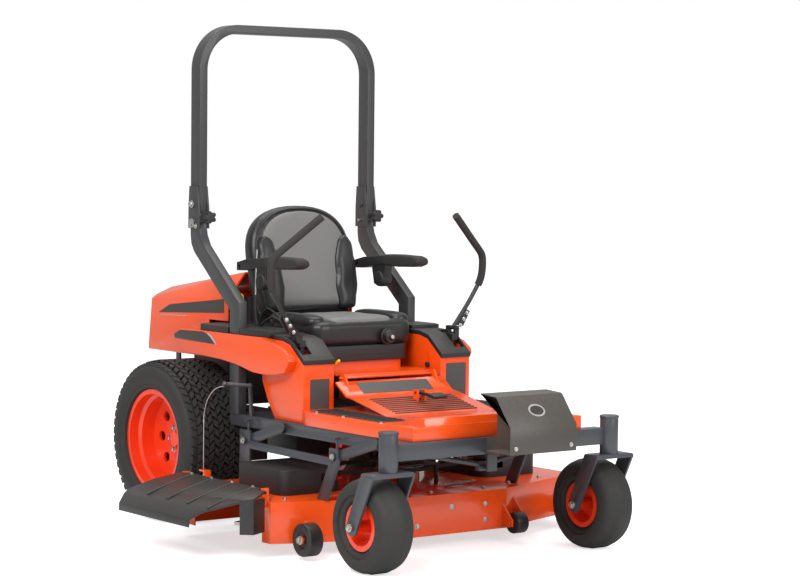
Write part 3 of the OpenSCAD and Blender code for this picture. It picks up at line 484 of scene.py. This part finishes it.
for side in ("right", "left"):
    node = "rear_tyre_" + side
    centre, width, outer = hub_of(node)
    carcass = turned(node + "_turf", tyre_profile(0.190, outer, width, 0.016), centre, 96)
    lugs = turf_lugs(node + "_lugs", centre, outer, width, 0.012, 11, 54)
    dress(joined([carcass, lugs]), tyre_black, "tyre_rubber", "rear_wheel_" + side, node, smooth=40)

    node = "caster_tyre_" + side
    centre, width, outer = hub_of(node)
    smooth_tyre = turned(node + "_smooth", tyre_profile(0.076, outer, width, 0.0), centre, 72)
    dress(smooth_tyre, tyre_black, "tyre_rubber", "caster_wheel_" + side, node, smooth=50)

# ---------------------------------------------------------------------------
# Seat: moulded foam pads under grained vinyl. Black bolsters stand round a
# grey middle panel, on the cushion and on the backrest alike.
# ---------------------------------------------------------------------------
black_vinyl = coated("black_vinyl", (0.010, 0.010, 0.011), (0.015, 0.015, 0.015), (0.3, 0.42), 1300, 0.4, sheen=0.05)
grey_vinyl = coated("grey_vinyl", (0.17, 0.168, 0.16), (0.14, 0.138, 0.132), (0.4, 0.52), 1300, 0.4, sheen=0.1)
hood_low, hood_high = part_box("hood")
middle_x = (hood_low[0] + hood_high[0]) / 2
axle_y = hub_of("rear_tyre_right")[0][1]
recline_pivot = (-0.265, 0.815)
recline_lean = math.radians(12)
seat_voxel = 0.006


def spot(x, y, z):
    """A place measured from the middle plane, the rear axle line and the ground."""
    return Vector((middle_x + x, axle_y + y, z))


def on_back(x, y, z):
    """A place measured from the backrest's own pivot, before it leans."""
    lean_y = y * math.cos(recline_lean) + z * math.sin(recline_lean)
    lean_z = z * math.cos(recline_lean) - y * math.sin(recline_lean)
    return spot(x, recline_pivot[0] + lean_y, recline_pivot[1] + lean_z)


def slab(name, outline, near, far, place, radius=0.0, steps=3):
    """Extrudes a flat outline between two depths, as plate is cut, and rounds its edges."""
    mesh = bpy.data.meshes.new(name)
    mesh.from_pydata([place(u, near, v) for u, v in outline], [], [list(range(len(outline)))])
    piece = bpy.data.objects.new(name, mesh)
    bpy.context.scene.collection.objects.link(piece)
    pick(piece)
    bpy.ops.object.mode_set(mode="EDIT")
    bpy.ops.mesh.select_all(action="SELECT")
    travel = place(0, far, 0) - place(0, near, 0)
    bpy.ops.mesh.extrude_region_move(TRANSFORM_OT_translate={"value": travel})
    bpy.ops.mesh.select_all(action="SELECT")
    bpy.ops.mesh.normals_make_consistent(inside=False)
    bpy.ops.object.mode_set(mode="OBJECT")
    if radius:
        apply_modifier(piece, "BEVEL", width=radius, segments=steps, limit_method="ANGLE",
                       angle_limit=math.radians(30), use_clamp_overlap=True)
    return piece


def swollen(piece, cap, pressure=4.0):
    """Fills a pad like foam: it is inflated as cloth, and no point moves further than cap."""
    pick(piece)
    piece.data.remesh_voxel_size = seat_voxel
    bpy.ops.object.voxel_remesh()
    before = [vertex.co.copy() for vertex in piece.data.vertices]
    cloth = piece.modifiers.new("fill", "CLOTH")
    cloth.settings.use_pressure = True
    cloth.settings.uniform_pressure_force = pressure
    cloth.settings.effector_weights.gravity = 0
    cloth.point_cache.frame_start = 1
    cloth.point_cache.frame_end = 20
    for moment in range(1, 21):
        bpy.context.scene.frame_set(moment)
    graph = bpy.context.evaluated_depsgraph_get()
    shaped = piece.evaluated_get(graph)
    after = [vertex.co.copy() for vertex in shaped.data.vertices]
    piece.modifiers.remove(cloth)
    bpy.context.scene.frame_set(1)
    for vertex, start, end in zip(piece.data.vertices, before, after):
        move = end - start
        if move.length > cap:
            move = move.normalized() * cap
        vertex.co = start + move
    apply_modifier(piece, "SMOOTH", factor=0.6, iterations=8)
    return piece


def rounded_outline(low_u, high_u, low_v, high_v, radius):
    """A rectangle with quarter-circle corners, in order round its edge."""
    corners = [(high_u - radius, high_v - radius, 0), (low_u + radius, high_v - radius, 90),
               (low_u + radius, low_v + radius, 180), (high_u - radius, low_v + radius, 270)]
    return [(u + radius * math.cos(math.radians(start + turn)), v + radius * math.sin(math.radians(start + turn)))
            for u, v, start in corners for turn in (0, 30, 60, 90)]


def flat(u, depth, v):
    return spot(u, v, depth)


def pad(name, finish, body, cap, piece, *nodes):
    swollen(piece, cap)
    return dress(piece, finish, "seat_vinyl", body, *nodes, smooth=180)


cushion_front, cushion_rear, cushion_floor = -0.685, -0.345, 0.722
pad("cushion_body", black_vinyl, "seat_cushion", 0.004,
    slab("cushion_body", rounded_outline(-0.24, 0.24, cushion_front, cushion_rear, 0.06),
         cushion_floor, 0.812, flat, 0.022), "seat_cushion")
pad("cushion_middle", grey_vinyl, "seat_cushion", 0.006,
    slab("cushion_middle", rounded_outline(-0.155, 0.155, cushion_front + 0.012, cushion_rear - 0.005, 0.05),
         0.79, 0.824, flat, 0.014))
for side in (-1, 1):
    edges = sorted((side * 0.155, side * 0.242))
    pad("cushion_bolster_" + ("right" if side < 0 else "left"), black_vinyl, "seat_cushion", 0.006,
        slab("bolster", rounded_outline(edges[0], edges[1], cushion_front + 0.03, cushion_rear, 0.04),
             0.79, 0.833, flat, 0.018))


def back_edge(inset, top, bottom, steps=24, squareness=0.82):
    """The backrest's outline: straight low sides under a wide round top."""
    half = 0.243 - inset
    shoulder = top - 0.2
    arch = []
    for i in range(steps + 1):
        turn = math.pi * i / steps
        across = math.copysign(abs(math.cos(turn)) ** squareness, math.cos(turn))
        arch.append((half * across, shoulder + (top - shoulder) * math.sin(turn) ** squareness))
    return [(-half * 0.84, bottom), (half * 0.84, bottom), (half * 0.98, bottom + 0.12)] + arch \
        + [(-half * 0.98, bottom + 0.12)]


pad("backrest_body", black_vinyl, "backrest", 0.004,
    slab("backrest_body", back_edge(0, 0.44, -0.008), -0.036, 0.038, on_back, 0.024), "backrest")
pad("backrest_middle", grey_vinyl, "backrest", 0.006,
    slab("backrest_middle", back_edge(0.03, 0.415, 0.02), -0.05, -0.03, on_back, 0.009))
for side in (-1, 1):
    wing = [(side * u, v) for u, v in ((0.135, 0.01), (0.208, 0.01), (0.232, 0.10), (0.234, 0.2), (0.224, 0.275),
                                       (0.196, 0.315), (0.158, 0.295), (0.130, 0.215), (0.120, 0.1))]
    pad("backrest_bolster_" + ("right" if side < 0 else "left"), black_vinyl, "backrest", 0.006,
        slab("wing", wing, -0.068, -0.035, on_back, 0.014))


def tube(name, points, radius, finish, slot, body, *nodes, curved=True):
    """A round bar or hose bent along a few chosen points."""
    curve = bpy.data.curves.new(name, "CURVE")
    curve.dimensions = "3D"
    curve.bevel_depth = radius
    curve.bevel_resolution = 5
    curve.use_fill_caps = True
    spline = curve.splines.new("NURBS" if curved else "POLY")
    spline.points.add(len(points) - 1)
    for point, place in zip(spline.points, points):
        point.co = (*place, 1)
    if curved:
        spline.order_u = 3
        spline.use_endpoint_u = True
        spline.resolution_u = 6
    piece = bpy.data.objects.new(name, curve)
    bpy.context.scene.collection.objects.link(piece)
    pick(piece)
    bpy.ops.object.convert(target="MESH")
    piece = bpy.context.object
    piece.name = name
    return dress(piece, finish, slot, body, *nodes, smooth=50)


piping = coated("piping", (0.02, 0.02, 0.021), (0.016, 0.016, 0.017), (0.3, 0.4), 1200, 0.2)
ring = back_edge(0.02, 0.42, 0.012)
tube("backrest_piping", [on_back(u, -0.037, v) for u, v in ring + ring[:1]], 0.003, piping,
     "seat_vinyl", "backrest")
bellows = coated("bellows_black", (0.010, 0.010, 0.011), (0.014, 0.014, 0.015), (0.5, 0.62), 900, 0.3)
for level in range(3):
    ring = rounded_outline(-0.196, 0.196, -0.686, -0.334, 0.034)
    tube("suspension_rib_%d" % level, [spot(u, v, 0.672 + 0.017 * level) for u, v in ring + ring[:2]],
         0.0045, bellows, "black_plastic", "suspension_top")

# ---------------------------------------------------------------------------
# Steering levers: a bent rod bolted to its base through two plates, with a
# long foam grip slid over the upper bend.
# ---------------------------------------------------------------------------
foam_grip = coated("foam_grip", (0.018, 0.017, 0.016), (0.026, 0.024, 0.023), (0.72, 0.85), 1500, 0.6)
for side, hand in ((-1, "right"), (1, "left")):
    body = "control_lever_" + hand
    rod = [(0.372, -0.745, 0.782), (0.386, -0.746, 0.80), (0.44, -0.750, 0.872), (0.486, -0.757, 0.950),
           (0.489, -0.758, 0.958)]
    tube("lever_rod_" + hand, [spot(side * x, y, z) for x, y, z in rod], 0.0085, satin_black,
         "lever_black", body, "control_lever_" + hand)
    grip = [(0.483, -0.757, 0.944), (0.488, -0.759, 0.955), (0.495, -0.765, 0.985), (0.4965, -0.768, 1.03),
            (0.493, -0.769, 1.062), (0.468, -0.777, 1.086), (0.44, -0.786, 1.109), (0.36, -0.813, 1.178),
            (0.313, -0.829, 1.218)]
    tube("lever_grip_" + hand, [spot(side * x, y, z) for x, y, z in grip], 0.0145, foam_grip,
         "lever_black", body)
    plate = [(0.384, 0.790), (0.405, 0.785), (0.438, 0.842), (0.424, 0.85)]
    for y in (-0.766, -0.738):
        dress(slab("lever_plate_" + hand, [(side * x, z) for x, z in plate], y, y + 0.005,
                   spot, 0.001), satin_black, "lever_black", body)

# ---------------------------------------------------------------------------
# Hood and fender trim: a plain dark band along each side of the hood, a
# closed vent panel at the rear, and an oval plate on each fender.
# ---------------------------------------------------------------------------
band_dark = coated("band_dark", (0.035, 0.03, 0.028), (0.045, 0.04, 0.036), (0.3, 0.4), 600, 0.1)
band_light = coated("band_light", (0.6, 0.6, 0.58), (0.5, 0.5, 0.48), (0.3, 0.4), 600, 0.05, metal=0.6)
skin = 0.0012


def on_side(side, x):
    """Places an outline of (length, height) points on a face square to the machine's width."""
    return lambda u, depth, v: spot(side * (x + depth), u, v)


for side, hand in ((-1, "right"), (1, "left")):
    face = on_side(side, 0.30)
    band = [(0.36, 0.796), (0.273, 0.833), (-0.137, 0.876), (-0.138, 0.821)]
    dress(slab("hood_band_" + hand, band, -0.001, skin, face), band_dark, "black_plastic", "hood")
    line = [(0.352, 0.786), (0.352, 0.789), (0.14, 0.795), (0.14, 0.792)]
    dress(slab("hood_line_" + hand, line, -0.001, skin, face), band_light, "zinc", "hood")
    badge = [(0.018, 0.717), (0.025, 0.732), (-0.02, 0.752), (-0.19, 0.756), (-0.25, 0.742), (-0.287, 0.712)]
    face = on_side(side, 0.43)
    dress(slab("fender_badge_" + hand, badge, -0.001, skin, face, 0.0005), band_dark, "black_plastic", "chassis")
    rim = [(-0.22, 0.752), (-0.236, 0.752), (-0.262, 0.74), (-0.292, 0.712), (-0.286, 0.71), (-0.252, 0.735)]
    dress(slab("fender_badge_edge_" + hand, rim, 0, skin + 0.0006, face), band_light, "zinc", "chassis")
hood_rear, hood_foot, hood_slope = 0.434, 0.64, 0.085
louvre_count, louvre_pitch, louvre_depth = 7, 0.024, 0.0095
for row in range(louvre_count):
    height = 0.69 + louvre_pitch * row
    lean_in = hood_rear - hood_slope * (height - hood_foot)
    louvre = slab("hood_louvre_%d" % row, rounded_outline(-0.2, 0.2, height - 0.006, height + 0.006, 0.005),
                  lean_in, lean_in + louvre_depth, spot, 0.001)
    dress(louvre, black_moulding, "black_plastic", "hood")

# ---------------------------------------------------------------------------
# Plain panels on the console fronts and the seat step, where a driver looks,
# and treads of raised bars where a driver stands.
# ---------------------------------------------------------------------------
panel_grey = coated("panel_grey", (0.07, 0.069, 0.066), (0.055, 0.054, 0.052), (0.32, 0.42), 500, 0.08)


def on_front(y):
    return lambda u, depth, v: spot(u, y - depth, v)


for name, outline, y in (
        ("console_panel_right", rounded_outline(-0.358, -0.272, 0.488, 0.616, 0.004), -0.826),
        ("console_panel_left", rounded_outline(0.276, 0.372, 0.522, 0.65, 0.004), -0.826)):
    dress(slab(name, outline, 0, skin, on_front(y)), panel_grey, "black_plastic", "chassis")
step_slope = (0.603 - 0.556) / (0.905 - 0.836)
step_panel = rounded_outline(-0.165, 0.165, -0.898, -0.846, 0.004)
dress(slab("step_panel", step_panel, 0, skin,
           lambda u, depth, v: spot(u, v, 0.556 + (v + 0.905) * step_slope + depth)), panel_grey,
      "black_plastic", "chassis")
pan_top, mat_top = 0.505, 0.508
ramp_rise = 0.553 - pan_top
ramp_run = 1.150 - 0.940
for row in range(9):
    y = -1.13 + 0.02 * row
    rib = rounded_outline(-0.19, 0.19, y - 0.004, y + 0.004, 0.003)
    dress(slab("ramp_tread_%d" % row, rib, -0.001, 0.0025,
               lambda u, depth, v: spot(u, v, pan_top + (v + 1.150) / ramp_run * ramp_rise + depth), 0.001),
          black_moulding, "black_plastic", "chassis")
for side, hand in ((-1, "right"), (1, "left")):
    edges = sorted((side * 0.27, side * 0.385))
    mat = slab("floor_mat_" + hand, rounded_outline(edges[0], edges[1], -1.31, -0.88, 0.02),
               pan_top - 0.0005, mat_top, flat, 0.001)
    dress(mat, black_moulding, "black_plastic", "chassis")
    for row in range(13):
        y = -1.29 + 0.0325 * row
        bar = slab("mat_bar", rounded_outline(edges[0] + 0.01, edges[1] - 0.01, y - 0.004, y + 0.004, 0.003),
                   mat_top - 0.0005, 0.511, flat)
        dress(bar, black_moulding, "black_plastic", "chassis").name = "floor_mat_bar_%s_%d" % (hand, row)

# ---------------------------------------------------------------------------
# Fasteners: hexagon bolts on washers, zinc plated, wherever pieces bolt up.
# ---------------------------------------------------------------------------


def disc(name, radius, depth, at, way, edge, sides=40, steps=4):
    """A short round piece with rounded rims. It is turned by way, and its place is in its mesh."""
    bpy.ops.mesh.primitive_cylinder_add(vertices=sides, radius=radius, depth=depth, location=at, rotation=way)
    piece = bpy.context.object
    piece.name = name
    pick(piece)
    bpy.ops.object.transform_apply(location=True, rotation=True, scale=True)
    if edge:
        apply_modifier(piece, "BEVEL", width=edge, segments=steps, limit_method="ANGLE",
                       angle_limit=math.radians(40))
    return piece


UPRIGHT, ALONG_WIDTH, ALONG_LENGTH = (0, 0, 0), (0, math.pi / 2, 0), (math.pi / 2, 0, 0)


def hexagon_bolts(name, body, places, radius=0.008):
    """One group of separate bolt heads. Each place is a point and the way the head faces."""
    heads = []
    for at, facing in places:
        turn = Vector(facing).to_track_quat("Z", "Y").to_euler()
        bpy.ops.mesh.primitive_cylinder_add(vertices=20, radius=radius * 1.35, depth=radius * 0.24,
                                            location=at + Vector(facing) * radius * 0.12, rotation=turn)
        heads.append(bpy.context.object)
        bpy.ops.mesh.primitive_cylinder_add(vertices=6, radius=radius, depth=radius * 0.75,
                                            location=at + Vector(facing) * radius * 0.6, rotation=turn)
        heads.append(bpy.context.object)
    piece = joined(heads)
    piece.name = name
    pick(piece)
    bpy.ops.object.transform_apply(location=True, rotation=True, scale=True)
    apply_modifier(piece, "BEVEL", width=radius * 0.1, segments=2, limit_method="ANGLE",
                   angle_limit=math.radians(50))
    return dress(piece, bright_zinc, "zinc", body)


hexagon_bolts("deck_bolts", "deck", [(spot(x, y, 0.2), (0, 0, 1)) for x, y in (
    (-0.55, -0.95), (-0.42, -0.98), (-0.15, -1.08), (0.0, -1.1), (0.25, -1.1), (0.42, -1.04), (0.62, -0.98),
    (0.7, -0.6), (0.7, -0.45), (-0.55, -0.45), (-0.2, -0.5), (0.3, -0.5))] + [
    (spot(x, -1.15, z), (0, -1, 0)) for x, z in ((-0.1, 0.09), (0.06, 0.15), (0.22, 0.09), (0.22, 0.15))])
hexagon_bolts("panel_screws", "chassis", [(spot(x, y, 0.505), (0, 0, 1)) for x in (-0.4, 0.4)
                                          for y in (-1.33, -1.1, -0.93)], 0.006)
hexagon_bolts("guard_box_screws", "chassis",
              [(spot(side * 0.125, -1.745, 0.44), (0, -1, 0)) for side in (-1, 1)], 0.006)
for side, hand in ((-1, "right"), (1, "left")):
    hexagon_bolts("lever_bolts_" + hand, "control_lever_" + hand,
                  [(spot(side * x, -0.766, z), (0, -1, 0)) for x, z in ((0.392, 0.789), (0.408, 0.813),
                                                                        (0.424, 0.836))], 0.006)
    hexagon_bolts("rops_bolts_" + hand, "chassis", [(spot(side * 0.4275, y, z), (side, 0, 0)) for y, z in (
        (-0.13, 1.165), (-0.09, 1.165))], 0.008)
    hexagon_bolts("rops_pivot_bolt_" + hand, "chassis", [(spot(side * 0.4345, -0.11, 1.25), (side, 0, 0))], 0.011)
    hub = hub_of("gauge_wheel_" + hand)[0]
    outer_end, inner_end = hub[0] + side * 0.0335, hub[0] - side * 0.0395
    hexagon_bolts("gauge_bolts_" + hand, "deck", [(Vector((outer_end, hub[1], hub[2])), (side, 0, 0)),
                                                  (Vector((inner_end, hub[1], hub[2])), (-side, 0, 0))], 0.012)
    fork_low, fork_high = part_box("caster_fork_" + hand)
    hub = hub_of("caster_rim_" + hand)[0]
    hexagon_bolts("caster_axle_bolts_" + hand, "caster_fork_" + hand, [
        (Vector((fork_low[0] + 0.001, hub[1], hub[2])), (-1, 0, 0)),
        (Vector((fork_high[0] - 0.001, hub[1], hub[2])), (1, 0, 0))], 0.011)
    for name, node in (("front_lift_bolt_", "front_lift_arm"), ("rear_lift_bolt_", "rear_lift_arm")):
        low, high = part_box(node)
        reach = high[0] if side > 0 else low[0]
        hexagon_bolts(name + hand, node, [(Vector((reach - side * 0.001, high[1] - 0.019, low[2] + 0.019)),
                                           (side, 0, 0))], 0.009)

# ---------------------------------------------------------------------------
# Wheel fittings: lug nuts and a valve on each rear rim, and a cap on each caster's pivot tube.
# ---------------------------------------------------------------------------
for side, hand in ((-1, "right"), (1, "left")):
    hub, width, outer = hub_of("rear_rim_" + hand)
    axle = spot(side * 0.415, 0, hub[2])
    hexagon_bolts("lug_nuts_" + hand, "rear_wheel_" + hand, [
        (axle + Vector((side * 0.019, 0.045 * math.cos(math.tau * k / 5), 0.045 * math.sin(math.tau * k / 5))),
         (side, 0, 0)) for k in range(5)], 0.0105)
    tube("valve_" + hand, [axle + Vector((side * (0.05 + 0.012 * k), 0, 0.172 - 0.004 * k)) for k in range(4)],
         0.004, black_moulding, "roller_rubber", "rear_wheel_" + hand)
    cap = disc("pivot_cap_" + hand, 0.036, 0.012, spot(side * 0.504, -1.517, 0.4955), UPRIGHT, 0.004, sides=48)
    dress(cap, powder_grey, "frame_steel", "caster_fork_" + hand)

# ---------------------------------------------------------------------------
# Small trim: two dials on the right console, springs on the deck, and a
# stay and hoses beside the seat.
# ---------------------------------------------------------------------------
for k, (y, z) in enumerate(((-0.655, 0.7695), (-0.61, 0.7715))):
    dial = disc("dial_%d" % k, 0.017, 0.008, spot(-0.29, y, z + 0.003), UPRIGHT, 0)
    bpy.ops.object.mode_set(mode="EDIT")
    bpy.ops.mesh.select_all(action="DESELECT")
    bpy.ops.object.mode_set(mode="OBJECT")
    for face in dial.data.polygons:
        face.select = face.normal.z > 0.9
    bpy.ops.object.mode_set(mode="EDIT")
    bpy.ops.mesh.inset(thickness=0.003)
    bpy.ops.mesh.extrude_region_move(TRANSFORM_OT_translate={"value": (0, 0, -0.003)})
    bpy.ops.object.mode_set(mode="OBJECT")
    dress(dial, band_dark, "black_plastic", "chassis")


def coil(name, start, end, radius, wire, turns, body, finish):
    """A close-wound pull spring with straight ends."""
    way = end - start
    across = way.orthogonal().normalized()
    other = way.normalized().cross(across)
    points = [start]
    for k in range(turns * 12 + 1):
        along = 0.1 + 0.8 * k / (turns * 12)
        angle = math.tau * k / 12
        points.append(start + way * along + across * radius * math.cos(angle) + other * radius * math.sin(angle))
    return tube(name, points + [end], wire, finish, "zinc", body)


coil("deck_spring", spot(0.10, -1.02, 0.212), spot(0.30, -0.99, 0.212), 0.008, 0.0018, 16, "deck", bright_zinc)
coil("idler_spring", spot(-0.20, -0.93, 0.215), spot(-0.02, -0.9, 0.215), 0.009, 0.0018, 16, "deck", bright_zinc)
tube("hood_stay", [spot(-0.300, -0.362, 0.90), spot(-0.301, -0.368, 0.99), spot(-0.302, -0.376, 1.08)], 0.0035,
     bright_zinc, "zinc", "chassis")
for k, route in enumerate((
        [(-0.298, -0.37, 0.785), (-0.300, -0.362, 0.83), (-0.300, -0.361, 0.87), (-0.300, -0.362, 0.905)],
        [(-0.30, -0.40, 0.785), (-0.30, -0.46, 0.83), (-0.31, -0.55, 0.82), (-0.32, -0.64, 0.785)],
        [(-0.28, -0.36, 0.785), (-0.29, -0.40, 0.86), (-0.29, -0.48, 0.85), (-0.30, -0.60, 0.79)])):
    tube("side_hose_%d" % k, [spot(*point) for point in route], 0.006 - 0.001 * k, black_moulding,
         "black_plastic", "chassis")

# ---------------------------------------------------------------------------
# Weight knob: a moulded collar behind it and a bright cap on its end.
# ---------------------------------------------------------------------------
knob_low, knob_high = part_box("tension_knob")
knob_at = Vector(((knob_low[0] + knob_high[0]) / 2, knob_low[1], (knob_low[2] + knob_high[2]) / 2))
for name, radius, depth, offset, finish, slot, node in (
        ("knob_cap", 0.0075, 0.003, -0.001, band_light, "zinc", "tension_knob"),
        ("knob_collar", 0.031, 0.006, 0.034, black_moulding, "black_plastic", "seat_cushion")):
    dress(disc(name, radius, depth, knob_at + Vector((0, offset, 0)), ALONG_LENGTH, depth * 0.3, steps=3),
          finish, slot, body_of[node])

# ---------------------------------------------------------------------------
# Armrests: a fat foam pad over the bar's front half and a round housing at
# its bracket.
# ---------------------------------------------------------------------------
for side, hand in ((-1, "right"), (1, "left")):
    edges = sorted((side * 0.251, side * 0.311))
    profile = [(-0.668, 1.026), (-0.664, 1.046), (-0.64, 1.056), (-0.52, 1.058), (-0.44, 1.056), (-0.432, 1.036),
               (-0.44, 1.012), (-0.52, 1.008), (-0.64, 1.012)]
    cover = slab("armrest_foam_" + hand, profile, edges[0], edges[1],
                 lambda u, depth, v: spot(depth, u, v), 0.015, 5)
    apply_modifier(cover, "SMOOTH", factor=0.4, iterations=2)
    dress(cover, foam_grip, "black_plastic", "armrest_" + hand, smooth=80)
    housing = disc("armrest_housing_" + hand, 0.031, 0.052, spot(side * 0.281, -0.40, 0.957), ALONG_WIDTH,
                   0.008, sides=48)
    dress(housing, black_moulding, "black_plastic", "armrest_" + hand)

# ---------------------------------------------------------------------------
# Guard box: a plain oval plate with a bright rim on its sloping face.
# ---------------------------------------------------------------------------
box_low, box_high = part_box("guard_box")
slope_top, slope_foot = (-0.140, 0.615), (-0.225, 0.513)
slope_run = math.hypot(slope_foot[0] - slope_top[0], slope_foot[1] - slope_top[1])
slope_way = Vector((0, (slope_foot[0] - slope_top[0]) / slope_run, (slope_foot[1] - slope_top[1]) / slope_run))
slope_out = Vector((0, slope_way.z, -slope_way.y))


def on_slope(u, depth, v):
    foot = Vector((middle_x + u, box_low[1], box_high[2] - (slope_top[1] - slope_foot[1]) - 0.005))
    return foot - slope_way * v + slope_out * depth


def oval(wide, high, up_slope=0.066, steps=40):
    return [(wide * math.cos(math.tau * k / steps), up_slope + high * math.sin(math.tau * k / steps))
            for k in range(steps)]


dress(slab("box_plate", oval(0.036, 0.026), -0.0005, 0.0012, on_slope), band_light, "zinc", "chassis")
dress(slab("box_plate_middle", oval(0.029, 0.019), 0, 0.0018, on_slope), band_dark, "black_plastic", "chassis")

# ---------------------------------------------------------------------------
# Chute: moulded ribs on the rubber deflector, and bolts along its hinge.
# ---------------------------------------------------------------------------
for k in range(4):
    y = -0.92 + 0.14 * k
    rib = [spot(x, y, z) for x, z in ((-0.672, 0.2475), (-0.76, 0.2275), (-0.86, 0.190))]
    tube("chute_rib_%d" % k, rib, 0.004, chute_rubber, "roller_rubber", "chute_deflector")
hexagon_bolts("chute_bolts", "chute_deflector", [(spot(-0.655, y, 0.2475), (0, 0, 1))
                                                 for y in (-0.9, -0.76, -0.62, -0.48)], 0.006)

# ---------------------------------------------------------------------------
# Hand lever grips: fat moulded handles pushed on the brake and the throttle.
# ---------------------------------------------------------------------------
grip_radius = 0.0125
for name, node, finish, slot, low, high in (
        ("brake_grip", "brake_lever", grip_orange, "grip_orange",
         (-0.355, -0.289, 0.832), (-0.355, -0.266, 0.92)),
        ("throttle_grip", "throttle_lever", grip_yellow, "grip_yellow",
         (-0.326, -0.304, 0.84), (-0.326, -0.301, 0.902))):
    bpy.ops.mesh.primitive_uv_sphere_add(segments=28, ring_count=18, radius=1)
    handle = bpy.context.object
    handle.name = name
    start, end = spot(*low), spot(*high)
    handle.scale = (grip_radius, grip_radius * 1.15, (end - start).length / 2 + 0.006)
    handle.location = (start + end) / 2
    handle.rotation_euler = (end - start).to_track_quat("Z", "Y").to_euler()
    pick(handle)
    bpy.ops.object.transform_apply(location=True, rotation=True, scale=True)
    dress(handle, finish, slot, node)
